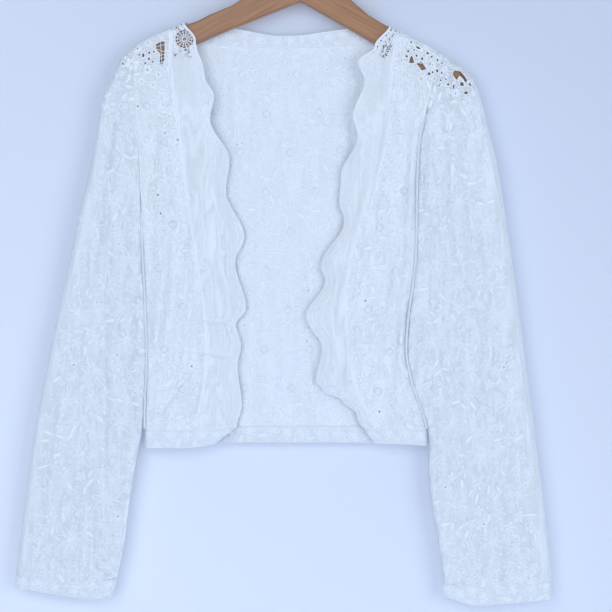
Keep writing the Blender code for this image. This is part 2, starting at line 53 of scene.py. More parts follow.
# Cloth walls, as in the part's source
EDGE_DEPTH = 0.3
SEAM_GAP = 0.3
FOLD_RADIUS = 9.0
UNDERARM_RADIUS = 7.0
ROUNDING = 2.3
GRID_WIDTH = 15.0
GRID_HEIGHT = 25.0
WIDE_GRID = 17.0
EDGE_STEPS = (0.0, 0.3, 2.5, 8.0)
SLEEVE_CAP_ROWS = (0, 7, 14, 22, 32, 44, 58, 76)
GAP_HALF = 5.2
SLEEVE_SPLIT = 250.0
EDGING_FALL = 4.0
BACK_RISE = 1.5
BACK_SPREAD = 80
MIDDLE = -20
FALL_TOP = 215
FALL_EASE = 60

# Fine cloth
FINE_EDGE = (0.0, 0.25, 0.7, 1.4)
FRONT_STEP = 1.3
SLEEVE_STEP = 1.6
BACK_STEP = 2.0
HIDDEN_STEP = 2.6
CLOTH_INSET = 0.4

# Lengths by which panels are divided into steps
FRONT_ACROSS = 70
SLEEVE_ACROSS = 100
BODY_DOWN = 480
BODY_LATTICE = 470
SLEEVE_DOWN = 640
SLEEVE_LATTICE = 620
EDGING_DOWN = 490

# Each panel's own lay of motifs
SEEDS = {
    "front_left": 11, "front_right": 12, "sleeve_left_front": 21, "sleeve_right_front": 22,
    "sleeve_left_back": 31, "sleeve_right_back": 32, "back": 41, "hem_left": 55, "hem_right": 56,
    "hem_back": 55, "neckband": 61, "cuff_left": 71, "cuff_right": 72,
}

# Folds, cords and seams on the walls
CREASE_REACH = 1.35
WAVES_TOP = 200
EDGE_CURL = 2.5
CORD_MARGIN = 0.4
FOLD_JOIN = 0.7

# Drops where seams and edges end
SEAM_LEVEL = 619
HEM_LEVEL = 638
ARMHOLE_END = 340

# Lace
PETALS = {"flower": 8, "blossom": 5, "daisy": 6}
FLOWER_RADIUS = 19.5
LEAST_FLOWER = 11
FLOWER_SHIFT = 2
FLOWER_MARGIN = 2
FLOWER_EYE = 1.8
HEART_SHARE = 0.2
PETAL_SHARE = 0.19
BLOSSOM_SHARE = 0.3
PETAL_WINDOW = 1.6
LEAF_LENGTH = 2.6
LEAF_WIDTH = 0.42
EYELET_RADIUS = 1.15
EYELET_CHANCE = 0.1
SHUT = -3.0
GAP_ROOM = 1.6
GAP_MARGIN = 1.4
GAP_RINGS = (1.1, 2.6, 4.0)
GAP_POWER = 1.2
GAP_THREAD = 1.3
CORD_RADIUS = 0.5
FINE_CORD_RADIUS = 0.38
NET_GROUND = -2.0
SHEER_GROUND = -3.4
SHEER_CELL = 0.0031
SHOULDER_SHEER = (178, 202)
LEFT_SHEER_RISE = 22.0
SHEER_THREAD = 0.09
SHOULDER_END = 216
SHOULDER_RIM = 1.2
SEAM_STRIP = 2.2
SIDE_STRIP = 0.8
SHOULDER_STRIP = 2.6
SIDE_SEAM_TOP = {"left": 340, "right": 240}
SIDE_SEAM_INSET = 3.1
SIDE_SEAM_SUNK = 1.5
SIDE_SEAM_RADIUS = 2.0
SHEER_FOLD = 13.0
FOLD_LINE = 7.0
FOLD_TOP, FOLD_END = 225, 800
EYELET_ROW_STEP = 5.5
EYELET_ROW_HOLE = 0.95
EYELET_ROW_HALF = 2.4
EYELET_ROWS = {"left": (214, 300, 15.0), "right": (156, 400, -3.6)}

# What fills the room between flowers: kind, least radius, spacing, largest radius
FILLER_SHIFT = 0.4
FILLER_MARGIN = 1.5
FILLER_ROOM = 0.3
FILLERS = (("blossom", 7.0, 7.0, 9.0), ("leaf", 3.8, 5.0, 5.2), ("ring", 2.2, 4.0, 2.4))

# What the camera sees: the photograph's 612 pixels across the garment's front, in metres
VIEW_WIDTH = 0.734
VIEW_CENTRE = (-0.001, -0.471)
CAMERA_AWAY = 2.2
FRONT_FACE = 0.008
SENSOR = 36.0

# Cloth's top outline over each shoulder, then the sleeve's outer fold: x, drop
SHOULDER_POINTS = 5
RIM_LEFT = (
    (-147, 129), (-164, 137), (-188, 147.2), (-206, 157.8), (-213, 162), (-218, 167), (-223, 173),
    (-227, 180), (-230.5, 188), (-233.5, 197), (-238, 206), (-243, 214), (-247, 230), (-250, 248),
    (-256, 284), (-264, 320), (-273, 356), (-280, 392), (-296, 464), (-311, 536), (-325, 608),
    (-336, 680), (-345, 752), (-350, 793),
)
RIM_RIGHT = (
    (99, 133), (112, 140.5), (129, 150.5), (146, 158.3), (157, 165), (169.5, 171.7), (182.5, 180.7),
    (191.5, 188), (200, 198.7), (206, 212), (211.5, 230), (218, 259), (228, 296), (234, 332),
    (245, 404), (255, 476), (264, 548), (274, 620), (283, 692), (291, 764), (294, 801),
)

# Armhole seam, then the side of the body: drop, x
BODY_LEFT = (
    (157.8, -206), (200, -207), (246, -204), (296, -201), (344, -199), (404, -197),
    (464, -194), (536, -192), (584, -194), (642, -195),
)
BODY_RIGHT = (
    (165, 157), (200, 151), (236, 143), (272, 135), (320, 132), (404, 131), (452, 126),
    (488, 121), (524, 119), (560, 125), (590, 135), (621, 144), (642, 145),
)

# Inner edge of each sleeve: armhole seam, then underarm seam: drop, x
SLEEVE_LEFT = (
    (157.8, -206.6), (200, -207.6), (246, -204.6), (296, -201.6), (344, -199.8), (404, -198),
    (464, -195), (536, -193), (584, -195), (620, -197.5), (656, -205), (704, -213),
    (752, -219), (797.5, -228),
)
SLEEVE_RIGHT = (
    (165, 157.6), (200, 151.6), (236, 143.6), (272, 135.6), (320, 132.8), (404, 132), (452, 127),
    (488, 122), (524, 120), (560, 126), (590, 136), (621, 145.8), (639, 147.5), (656, 146.5),
    (692, 148), (740, 156), (788, 163), (803, 164),
)

# Seam between the flowered lace and the scalloped edging: drop, x
LACE_LEFT = (
    (136, -162), (176, -164), (224, -158), (284, -151), (344, -143), (404, -135), (464, -125),
    (512, -119), (548, -122), (584, -128), (642, -140),
)
LACE_RIGHT = (
    (140.5, 112), (176, 103), (224, 99), (272, 94), (308, 85), (344, 73), (380, 61), (416, 52),
    (464, 47), (512, 49), (548, 54), (584, 66), (602, 78), (642, 93),
)

# Peaks and hollows of the scalloped front edges: drop, x
SCALLOP_LEFT = (
    (129, -147), (152, -133), (195, -122), (220, -111), (246, -116), (296, -93), (332, -97),
    (388, -75), (418, -86), (474, -73), (493, -85), (518, -79), (543, -83), (590, -78),
    (616, -84), (642, -112),
)
SCALLOP_RIGHT = (
    (133, 99), (160, 81), (178, 61), (201, 69), (243, 55), (267, 61), (315, 41), (346, 39),
    (368, 45), (424, 17), (440, 22), (484, -1), (522, 18), (561, 11), (573, 20), (585, 43),
    (601, 60), (642, 80),
)

# Back neck: upper edge of the band, and the seam below it: x, drop
NECK_TOP = (
    (-147, 129), (-122, 132), (-92, 135), (-72, 138), (-57, 141), (-35, 144), (-9, 143.5),
    (16, 140), (46, 136), (76, 132), (99, 133),
)
NECK_SEAM = (
    (-162, 136), (-152, 143), (-138, 150), (-122, 154), (-93, 157), (-57, 159.5), (-31, 160),
    (16, 159), (49, 156), (73, 153.5), (94, 150), (106, 145), (112, 140.5),
)

# Seam above the hem, and the hem's lower edge: x, drop
HEM_SEAM_LEFT = ((-195, 620), (-150, 620), (-84, 617))
HEM_SEAM_RIGHT = ((65, 617), (100, 619), (144, 619))
HEM_SEAM_BACK = ((-195, 620), (-100, 617), (0, 617), (144, 619))
HEM_END_LEFT = ((-195, 642), (-147, 642), (-110, 637))
HEM_END_RIGHT = ((75, 636), (110, 637), (145, 639))
HEM_END_BACK = ((-195, 641), (-107, 636), (46, 636), (145, 638))

# Cuffs: seam and lower edge: x, drop
CUFF_SEAM_LEFT = ((-228, 797.5), (-254, 801), (-281, 803), (-350, 793))
CUFF_END_LEFT = ((-234, 821), (-256, 824), (-300, 818), (-352, 809.5))
CUFF_SEAM_RIGHT = ((164, 803), (205, 808), (250, 806), (294, 801))
CUFF_END_RIGHT = ((162, 819), (205, 831), (250, 828), (295, 824))

# How far the cloth stands from the middle plane: drop, front, back
BODY_DEPTH = ((120, 10, 10), (235, 10, 10), (320, 8.5, 7.5), (480, 8.5, 7), (640, 7.5, 6.5))
SLEEVE_DEPTH = ((120, 10, 10), (235, 10, 10), (330, 9.5, 8.5), (620, 9, 8), (825, 7.5, 7))

# How far front and back have closed to each other at the underarm and side: drop, closed
CLOSED_LEFT = ((330, 0.0), (355, 0.35), (400, 1.0))
CLOSED_RIGHT = ((240, 0.0), (285, 0.75), (345, 0.8), (400, 1.0))
CLOSED_BACK = ((330, 0.0), (400, 1.0))

# Folds of the walls: drop and x at the top, at the bottom, half width, height outwards
BODY_FOLDS_FRONT = (
    (225, -172, 540, -180, 8, 3.0),
    (240, -150, 560, -166, 9, -3.2),
    (410, -122, 560, -124, 8, 2.2),
    (540, -122, 626, -146, 7, -3.2),
    (560, -152, 640, -172, 8, 2.4),
    (236, 98, 400, 84, 8, 2.6),
    (240, 116, 420, 104, 8, -2.8),
    (235, 136, 380, 124, 6, 2.4),
    (400, 76, 560, 54, 9, 2.4),
    (420, 96, 600, 74, 9, -3.0),
    (440, 112, 600, 116, 7, 2.2),
    (560, 100, 640, 124, 8, -2.0),
)
BODY_FOLDS_BACK = (
    (250, -120, 600, -128, 12, 2.2),
    (240, -70, 560, -84, 12, -1.8),
    (300, -20, 620, -30, 13, 1.6),
    (250, 30, 600, 20, 12, -1.8),
    (260, 78, 610, 84, 11, 2.0),
    (380, -160, 630, -158, 10, -2.0),
    (380, 112, 630, 110, 9, -1.6),
)
SLEEVE_FOLDS_FRONT = (
    (240, -236, 470, -262, 7, -2.6),
    (250, -221, 560, -244, 8, 2.4),
    (400, -258, 620, -246, 8, -2.8),
    (430, -276, 700, -306, 9, 2.2),
    (560, -226, 790, -248, 9, 2.6),
    (600, -262, 790, -286, 9, -2.6),
    (640, -300, 800, -326, 8, 2.0),
    (500, -214, 760, -234, 7, -2.2),
    (250, 176, 470, 196, 8, -2.8),
    (300, 150, 520, 158, 7, 2.4),
    (330, 206, 560, 232, 9, 2.2),
    (430, 186, 720, 206, 9, -2.8),
    (520, 166, 790, 196, 8, 2.4),
    (520, 222, 790, 252, 9, 2.6),
    (600, 246, 800, 268, 8, -2.4),
    (560, 206, 800, 224, 7, -2.0),
)
SLEEVE_FOLDS_BACK = (
    (260, -228, 560, -262, 9, 2.2),
    (420, -246, 760, -284, 10, -2.2),
    (560, -226, 790, -250, 9, 2.0),
    (520, -280, 780, -318, 9, -1.8),
    (260, 186, 560, 208, 9, 2.2),
    (420, 166, 760, 196, 10, -2.2),
    (560, 226, 790, 244, 9, 2.0),
    (520, 240, 780, 268, 9, -1.8),
)

# Creases laid on the folds: points (x, drop), half width, height outwards
FRONT_CREASES = (
    (((-173, 250), (-169, 296), (-164, 368), (-170, 440), (-180, 488), (-182, 518)), 6.5, 1.8),
    (((-145, 348), (-144, 380), (-149, 406), (-155, 438), (-167, 488), (-176, 540)), 6.5, -2.3),
    (((-128, 527), (-113, 528), (-99, 531)), 2.4, -1.6),
    (((-122, 489), (-106, 490), (-92, 493)), 2.2, -1.3),
    (((-187, 380), (-187, 428), (-190, 464), (-186, 536)), 3.5, -1.0),
    (((-124, 428), (-123, 470), (-122, 512)), 4.0, 0.9),
    (((-123, 531), (-125, 565), (-128, 595), (-143, 614)), 2.8, 1.2),
    (((-140, 548), (-155, 572), (-176, 600)), 3.2, -1.3),
    (((112, 150), (108, 196), (97, 263), (78, 344), (66, 416)), 3.6, 1.5),
    (((136, 200), (137, 224), (131, 262)), 3.2, 1.8),
    (((127, 232), (127, 260), (123, 344), (117, 464), (111, 524), (109, 584)), 4.2, 2.0),
    (((88, 344), (84, 416)), 3.4, 1.0),
    (((52, 452), (52, 512)), 3.4, 1.0),
    (((113, 236), (112, 262)), 4.4, -1.8),
    (((101, 344), (101, 416), (95, 464), (77, 512)), 5.0, -2.6),
    (((-112, 250), (-104, 330), (-100, 400)), 3.0, -0.8),
    (((76, 250), (66, 320), (58, 380)), 3.0, -0.8),
)
SLEEVE_CREASES = (
    (((142, 236), (138, 290), (138, 340), (138, 410)), 5.5, -3.0),
    (((-234, 240), (-234, 262), (-239, 302)), 4.5, -2.4),
    (((-260, 392), (-260, 422), (-264, 470)), 4.5, -2.0),
    (((-242, 440), (-242, 512), (-243, 584), (-243, 728)), 5.2, -2.6),
    (((-248, 400), (-249, 440)), 3.2, 1.0),
    (((-228, 640), (-229, 710)), 3.8, 1.2),
    (((-290, 560), (-300, 640), (-312, 730)), 4.0, 1.0),
    (((-268, 500), (-276, 580), (-284, 660)), 3.4, -1.1),
    (((150, 410), (150, 476)), 3.2, 1.1),
    (((174, 272), (174, 344), (181, 404), (193, 452), (205, 500), (207, 584)), 5.2, -2.8),
    (((226, 500), (228, 566)), 4.5, -2.0),
    (((190, 300), (197, 380), (212, 450)), 3.4, 1.0),
    (((230, 640), (242, 720), (250, 780)), 3.8, -1.0),
    (((182, 620), (190, 700), (200, 770)), 3.8, 1.1),
)
BACK_CREASES = (
    (((-150, 260), (-146, 360), (-152, 470)), 5.0, 1.0),
    (((-96, 280), (-100, 420), (-98, 560)), 5.0, -0.9),
    (((-44, 240), (-40, 330), (-50, 450)), 6.0, 0.8),
    (((4, 330), (-2, 460), (6, 580)), 5.0, -0.8),
    (((54, 250), (60, 380), (52, 500)), 5.0, 0.9),
    (((104, 300), (98, 420), (104, 560)), 4.5, -1.0),
)
SLEEVE_BACK_CREASES = (
    (((-236, 300), (-248, 420), (-256, 540)), 4.0, -1.1),
    (((-270, 480), (-284, 600), (-300, 720)), 4.5, 1.0),
    (((-226, 620), (-236, 720)), 4.0, -1.0),
    (((176, 290), (190, 420), (204, 540)), 4.0, -1.1),
    (((214, 440), (232, 580), (250, 720)), 4.5, 1.0),
    (((172, 600), (186, 720)), 4.0, -1.0),
)

# Eyelets of the shoulders: x, drop, half width, half height, turn in degrees
SHOULDER_EYELETS = (
    (125, 154.9, 1.6, 1.0, 25), (133.4, 161.5, 3.2, 1.0, 28), (144.8, 168.1, 1.9, 1.1, 40),
    (149.6, 172.3, 1.2, 1.2, 0), (156.6, 176.2, 1.5, 1.5, 0), (161.6, 180.1, 1.4, 1.1, 30),
    (170, 181.3, 1.2, 0.9, 20), (175.4, 183.8, 1.4, 1.0, 30),
    (121.4, 165.7, 1.3, 1.3, 0), (128.6, 163.9, 1.0, 1.0, 0), (119.6, 171.7, 1.6, 1.3, 20),
    (131.6, 171.1, 1.5, 1.2, 0), (138.2, 174.7, 1.3, 1.5, 0), (136.4, 178.9, 1.0, 1.0, 0),
    (147.2, 181.3, 1.6, 1.3, 30), (146.6, 192.7, 1.8, 1.5, 0), (150.8, 190.9, 1.1, 1.5, 0),
    (156.2, 189.1, 1.3, 2.0, 0), (161.8, 191.5, 1.0, 1.6, 0), (153.2, 198.7, 1.1, 1.1, 0),
    (160.4, 200.5, 1.2, 1.2, 0), (166.4, 199.3, 1.2, 1.2, 0), (169.4, 205.3, 1.7, 1.3, 30),
    (158.6, 207.1, 1.2, 1.2, 0), (176, 208.3, 0.9, 3.0, 0),
    (-196, 170.5, 1.3, 2.4, 0), (-188.8, 167.5, 1.3, 1.3, 0), (-183.4, 166.3, 1.1, 1.1, 0),
    (-189.2, 174.7, 1.4, 1.4, 0), (-200.8, 169.9, 1.1, 1.1, 0), (-193.6, 180.1, 1.2, 1.2, 0),
    (-184.6, 178.3, 1.1, 1.1, 0), (-211, 181.1, 1.2, 1.2, 0), (-220.5, 180.5, 0.9, 2.2, -20),
)

# Daisies of the shoulders: x, drop, radius
SHOULDER_DAISIES = (
    (-209.2, 180.7, 9.0), (-203, 162.5, 6), (-191, 188, 7), (-178, 194, 6), (-222, 192, 4.5),
    (-198, 202, 6), (-184, 206, 6), (-190, 156, 5.5),
    (116.8, 181, 5), (137, 199, 6), (150.5, 182, 5), (165, 187.5, 4.5), (178, 216, 6),
    (169, 213, 4), (200, 215, 4.5), (112, 190, 5),
)

# Larger openings of the shoulders, as corners (x, drop)
SHOULDER_OPENINGS = (
    ((122.4, 179.8), (128.8, 179.8), (127.8, 175), (125.6, 170.6), (123.4, 174.4)),
    ((131.6, 180.7), (137.6, 178.3), (143.4, 186.9), (137.6, 188.7)),
    ((174.6, 192.4), (176.8, 188.9), (183.8, 189.7), (188.6, 195), (192.2, 200.7),
     (190.2, 203.7), (186, 198), (182.6, 195.5), (180.2, 200.2), (177, 197)),
    ((183.6, 207.3), (189, 207.3), (187.6, 203.4), (185, 202.3), (183.4, 204.6)),
    ((193.2, 207), (197.8, 207.9), (196.8, 204.6), (195.2, 202.6)),
    ((187.2, 216.7), (193, 217.5), (192.8, 214.2), (190.8, 213)),
)

# Sheer windows of the shoulders: x, drop, half width, half height, turn in degrees
SHOULDER_WINDOWS = (
    (126.8, 188.8, 7.2, 4.6, 0), (146, 198.4, 4.2, 2.6, 20),
    (-208.6, 196, 2.2, 6, 0), (-216, 195, 1.9, 5, 0), (-197.5, 192, 2.2, 6, 6),
)

# The left shoulder's long opening, as corners, and the fine brides that cross it
BRIDGED_OPENING = (
    (-181, 158), (-176, 154.5), (-170.4, 153.8), (-170.4, 164), (-171, 176), (-173.4, 183),
    (-176.6, 179.5), (-176, 168.5), (-180.4, 164),
)
BRIDES = (
    ((-181, 160.5), (-170, 157.5)), ((-180.6, 163), (-170, 166.5)), ((-176.4, 171), (-170.2, 169)),
    ((-176.8, 175.5), (-170.6, 173)), ((-176.4, 180), (-171.2, 178)), ((-175.4, 154), (-173.6, 183)),
)

# Rings of the edging near the shoulders: x, drop
EDGING_RINGS = (
    (107, 160.3), (109.6, 147.6), (107.6, 167.8), (105.2, 153.6),
    (-158.6, 143.4), (-156.6, 149.4), (-158.8, 155.6), (-157, 162),
)
SPIDER_CENTRE = (-146.6, 151)
SPIDER_RADIUS = 11.0
SPIDER_RAYS = 14
SPIDER_EYE = 2.4
SPIDER_RINGS = ((SPIDER_EYE, 1.0), (5.6, 0.7), (8.6, 0.7), (SPIDER_RADIUS + 0.3, 0.8))


# Curves from tables


def smooth(table, at, column=1):
    """A smooth curve through a table's rows, read at any value of its first column."""
    knots = np.array([row[0] for row in table], float)
    values = np.array([row[column] for row in table], float)
    rises = np.diff(values) / np.diff(knots)
    before, after = rises[:-1], rises[1:]
    turning = before * after <= 0
    inner = np.where(turning, 0, 2 * before * after / np.where(turning, 1, before + after))
    slopes = np.concatenate([rises[:1], inner, rises[-1:]])
    at = np.clip(at, knots[0], knots[-1])
    low = np.clip(np.searchsorted(knots, at) - 1, 0, len(knots) - 2)
    span = knots[low + 1] - knots[low]
    t = (at - knots[low]) / span
    start = (1 + 2 * t) * (1 - t) ** 2 * values[low] + t * (1 - t) ** 2 * span * slopes[low]
    end = t * t * (3 - 2 * t) * values[low + 1] - t * t * (1 - t) * span * slopes[low + 1]
    return start + end


def waved(table, at):
    """Rounded peaks and hollows through a table's rows."""
    knots, values = np.array(table, float).T
    at = np.clip(at, knots[0], knots[-1])
    low = np.clip(np.searchsorted(knots, at) - 1, 0, len(knots) - 2)
    t = (at - knots[low]) / (knots[low + 1] - knots[low])
    return values[low] + (values[low + 1] - values[low]) * (1 - np.cos(math.pi * t)) / 2


def length_along(points):
    """The length of a polyline up to each of its points."""
    return np.concatenate([[0], np.cumsum(np.hypot(*np.diff(points, axis=0).T))])


def along(points, t):
    """The point at each share t of a polyline's length."""
    points = np.array(points, float)
    reach = length_along(points)
    return np.stack([np.interp(t * reach[-1], reach, points[:, i]) for i in (0, 1)], axis=-1)


def side_line(table, start, end, read=smooth, count=60):
    """Points (x, drop) down a table of drop and x."""
    drops = np.linspace(start, end, count)
    return np.stack([read(table, drops), drops], axis=-1)


def level_line(table, start, end, count=40):
    """Points (x, drop) across a table of x and drop, in either direction."""
    table = sorted(table)
    x = np.linspace(start, end, count)
    return np.stack([x, smooth(table, x)], axis=-1)


def distance_to(points, x, drop):
    """The distance of each (x, drop) from a polyline."""
    points = np.array(points, float)
    best = np.full(np.shape(x), 1e9)
    for (ax, ad), (bx, bd) in zip(points[:-1], points[1:]):
        along_x, along_d = bx - ax, bd - ad
        t = ((x - ax) * along_x + (drop - ad) * along_d) / (along_x**2 + along_d**2)
        t = np.clip(t, 0, 1)
        best = np.minimum(best, np.hypot(x - ax - t * along_x, drop - ad - t * along_d))
    return best


def rounded(distance, radius):
    """0 on an edge, 1 from one radius inside it."""
    share = 1 - np.clip(distance / radius, 0, 1)
    return np.clip(1 - share**ROUNDING, 0, 1) ** (1 / ROUNDING)


# Where the cloth lies


def folds_at(folds, x, drop):
    """Sum of the folds' heights, each fading at its two ends."""
    height = np.zeros(np.shape(x))
    for top, x_top, bottom, x_bottom, half_width, rise in folds:
        t = (drop - top) / (bottom - top)
        middle = x_top + (x_bottom - x_top) * t
        fade = np.sin(math.pi * np.clip(t, 0, 1)) ** 0.6
        height = height + rise * fade * np.exp(-(((x - middle) / half_width) ** 2))
    return height


def creases_at(creases, x, drop):
    """Soft uneven troughs and ridges, wider where they start and end."""
    height = np.zeros(np.shape(x))
    for points, half_width, rise in creases:
        wander = 1 + 0.25 * np.sin(drop / 17 + rise * 3)
        near = distance_to(points, x, drop) / half_width / wander
        height = height + CREASE_REACH * rise * np.exp(-(near**2))
    return height


def hang_waves(x, drop):
    """Faint vertical waves of hung cloth that drift down its length."""
    drift = 6 * np.sin(drop / 61) + 3 * np.sin(drop / 27 + 1)
    waves = 0.5 * np.sin((x + drift) / 3.1) * np.sin(drop / 83 + x / 40)
    waves = waves + 0.5 * np.sin((x - 1.4 * drift) / 5.3 + 2) * np.sin(drop / 57 + 1)
    return waves * np.clip((drop - WAVES_TOP) / FALL_EASE, 0, 1)


def rim_closure(x, drop):
    """0 on the outline of shoulders and sleeves, 1 where the cloth stands open."""
    nearest = np.minimum(distance_to(RIM_LEFT, x, drop), distance_to(RIM_RIGHT, x, drop))
    return rounded(nearest, FOLD_RADIUS)


def side_closure(x, drop, sides, closed):
    """Closes front and back to each other at the body's sides or the sleeves' inner edges."""
    closure = np.ones(np.shape(x))
    for side, table in zip(sides, closed):
        gap = np.abs(x - smooth(side, drop))
        shut = np.interp(drop, *np.array(table).T)
        closure = closure * (1 - shut * (1 - rounded(gap, UNDERARM_RADIUS)))
    return closure


BODY_SIDES = (BODY_LEFT, BODY_RIGHT)
SLEEVE_SIDES = (SLEEVE_LEFT, SLEEVE_RIGHT)
CLOSED_FRONT = (CLOSED_LEFT, CLOSED_RIGHT)
CLOSED_BEHIND = (CLOSED_BACK, CLOSED_BACK)


def standing(depth, closure):
    """A wall's distance from the middle plane, between its closed edge and its full depth."""
    return EDGE_DEPTH + (depth - CLOTH_INSET - EDGE_DEPTH) * closure


def edging_share(x, drop):
    """0 on the flowered lace, 1 at the scalloped edge; the edging falls back by this share."""
    left = (x - smooth(LACE_LEFT, drop)) / (waved(SCALLOP_LEFT, drop) - smooth(LACE_LEFT, drop))
    right = (smooth(LACE_RIGHT, drop) - x) / (smooth(LACE_RIGHT, drop) - waved(SCALLOP_RIGHT, drop))
    share = np.where(x < MIDDLE, left, right)
    return np.clip(share, 0, 1) * np.clip((drop - FALL_TOP) / FALL_EASE, 0, 1)


def hung_depth(table, column, folds, creases, x, drop, shift=0):
    """How far open cloth stands from the middle plane, with its folds, creases and waves."""
    depth = smooth(table, drop, column) + folds_at(folds, x, drop)
    return depth + creases_at(creases, x, drop) + hang_waves(x + shift, drop)


def closed_depth(depth, x, drop, sides, closed):
    """That depth, brought in where the cloth turns over at its rim and sides."""
    return standing(depth, side_closure(x, drop, sides, closed) * rim_closure(x, drop))


def body_front(x, drop):
    depth = hung_depth(BODY_DEPTH, 1, BODY_FOLDS_FRONT, FRONT_CREASES, x, drop)
    share = edging_share(x, drop)
    depth = depth - EDGING_FALL * share**1.5 - EDGE_CURL * share**6
    return -closed_depth(depth, x, drop, BODY_SIDES, CLOSED_FRONT)


def body_back(x, drop):
    depth = hung_depth(BODY_DEPTH, 2, BODY_FOLDS_BACK, BACK_CREASES, x, drop, 9)
    centre = np.exp(-(((x - MIDDLE) / BACK_SPREAD) ** 2)) * np.clip((drop - 190) / 90, 0, 1)
    return closed_depth(depth - BACK_RISE * centre, x, drop, BODY_SIDES, CLOSED_BEHIND)


def sleeve_front(x, drop):
    depth = hung_depth(SLEEVE_DEPTH, 1, SLEEVE_FOLDS_FRONT, SLEEVE_CREASES, x, drop)
    return -closed_depth(depth, x, drop, SLEEVE_SIDES, CLOSED_FRONT)


def sleeve_back(x, drop):
    depth = hung_depth(SLEEVE_DEPTH, 2, SLEEVE_FOLDS_BACK, SLEEVE_BACK_CREASES, x, drop, 5)
    return closed_depth(depth, x, drop, SLEEVE_SIDES, CLOSED_BEHIND)


# Outlines of the panels


def steps(length, spacing, close_start, close_end, edge=EDGE_STEPS):
    """Shares from 0 to 1, close together where the cloth turns over at an edge."""
    count = max(2, round(length / spacing))
    first = edge[-1] if close_start else 0
    last = edge[-1] if close_end else 0
    middle = np.linspace(first, length - last, count + 1)
    start = edge[:-1] if close_start else ()
    end = [length - step for step in reversed(edge[:-1])] if close_end else ()
    return np.concatenate([start, middle, end]) / length


def patch(top, bottom, first, second):
    """A Coons patch's (x, drop) by row and column, from the points along its four edges."""
    across = np.hypot(*np.diff(top, axis=0).T)
    down = np.hypot(*np.diff(second, axis=0).T)
    u = (np.concatenate([[0], np.cumsum(across)]) / across.sum())[None, :, None]
    v = (np.concatenate([[0], np.cumsum(down)]) / down.sum())[:, None, None]
    between = (1 - v) * top[None] + v * bottom[None]
    between = between + (1 - u) * first[:, None] + u * second[:, None]
    upper = (1 - u) * top[0] + u * top[-1]
    lower = (1 - u) * bottom[0] + u * bottom[-1]
    return between - (1 - v) * upper - v * lower


def shoulder_part(rim, start_x, end_x):
    """The stretch of a shoulder outline between two x, with its own points kept."""
    low, high = sorted((start_x, end_x))
    table = sorted(rim[:SHOULDER_POINTS])
    inner = [point for point in table if low < point[0] < high]
    ends = [(x, float(np.interp(x, *np.array(table).T))) for x in (low, high)]
    line = [ends[0], *inner, ends[1]]
    return line if start_x < end_x else line[::-1]


SIDES = {
    "left": (RIM_LEFT, BODY_LEFT, LACE_LEFT, SCALLOP_LEFT, HEM_SEAM_LEFT, SEAM_GAP),
    "right": (RIM_RIGHT, BODY_RIGHT, LACE_RIGHT, SCALLOP_RIGHT, HEM_SEAM_RIGHT, -SEAM_GAP),
}
SLEEVES = {
    "left": (RIM_LEFT, SLEEVE_LEFT, CUFF_SEAM_LEFT),
    "right": (RIM_RIGHT, SLEEVE_RIGHT, CUFF_SEAM_RIGHT),
}


def front_flat(side, across, down):
    """The front panel's (x, drop) by row and column."""
    rim, body, lace, _, hem, gap = SIDES[side]
    shoulder = shoulder_part(rim, body[0][1], lace[0][1] - 2 * gap)
    ends = [float(smooth(sorted(hem), smooth(line, SEAM_LEVEL))) for line in (body, lace)]
    outer = along(side_line(body, shoulder[0][1], ends[0] - SEAM_GAP), down)
    seam = along(side_line(lace, lace[0][0], ends[1] - SEAM_GAP), down)
    bottom = along(level_line(hem, outer[-1][0], seam[-1][0]) - (0, SEAM_GAP), across)
    top = along(shoulder, across)
    inner = seam - (2 * gap, 0)
    inner[0], bottom[-1] = top[-1], inner[-1]
    top[0], bottom[0] = outer[0], outer[-1]
    return patch(top, bottom, outer, inner)


def sleeve_flat(side, across, down):
    """A sleeve face's (x, drop) by row and column, from the armhole down."""
    rim, inner_table, cuff = SLEEVES[side]
    start = inner_table[0]
    outer = [point for point in rim if abs(point[0]) > abs(start[1])]
    outer[-1] = (outer[-1][0], outer[-1][1] - SEAM_GAP)
    outer.insert(0, (start[1], start[0]))
    outer = along(outer, down)
    seam = along(side_line(inner_table, start[0], SLEEVE_SPLIT)[::-1], across)
    inner = along(side_line(inner_table, SLEEVE_SPLIT, cuff[0][1] - SEAM_GAP), down)
    bottom = along(level_line(cuff, inner[-1][0], outer[-1][0]) - (0, SEAM_GAP), across)
    seam[0], seam[-1] = inner[0], outer[0]
    bottom[0], bottom[-1] = inner[-1], outer[-1]
    return patch(seam, bottom, inner, outer)


def back_flat(spacing, down, edge=EDGE_STEPS):
    """The back panel's (x, drop) by row and column."""
    left = shoulder_part(RIM_LEFT, BODY_LEFT[0][1], NECK_SEAM[0][0])
    right = shoulder_part(RIM_RIGHT, NECK_SEAM[-1][0], BODY_RIGHT[0][1])
    neck = level_line(NECK_SEAM, NECK_SEAM[0][0], NECK_SEAM[-1][0], 50) + (0, 2 * SEAM_GAP)
    neck[0], neck[-1] = left[-1], right[0]
    parts = ((left, 50, True, False), (neck, 280, True, True), (right, 50, False, True))
    spans = [along(line, steps(length, spacing, *close, edge)) for line, length, *close in parts]
    top = np.concatenate([spans[0][:-1], spans[1][:-1], spans[2]])
    first = along(side_line(BODY_LEFT, top[0][1], HEM_SEAM_BACK[0][1] - SEAM_GAP), down)
    second = along(side_line(BODY_RIGHT, top[-1][1], HEM_SEAM_BACK[-1][1] - SEAM_GAP), down)
    first[0], second[0] = top[0], top[-1]
    reach = length_along(top)
    bottom = along(level_line(HEM_SEAM_BACK, first[-1][0], second[-1][0]), reach / reach[-1])
    bottom = bottom - (0, SEAM_GAP)
    bottom[0], bottom[-1] = first[-1], second[-1]
    return patch(top, bottom, first, second)


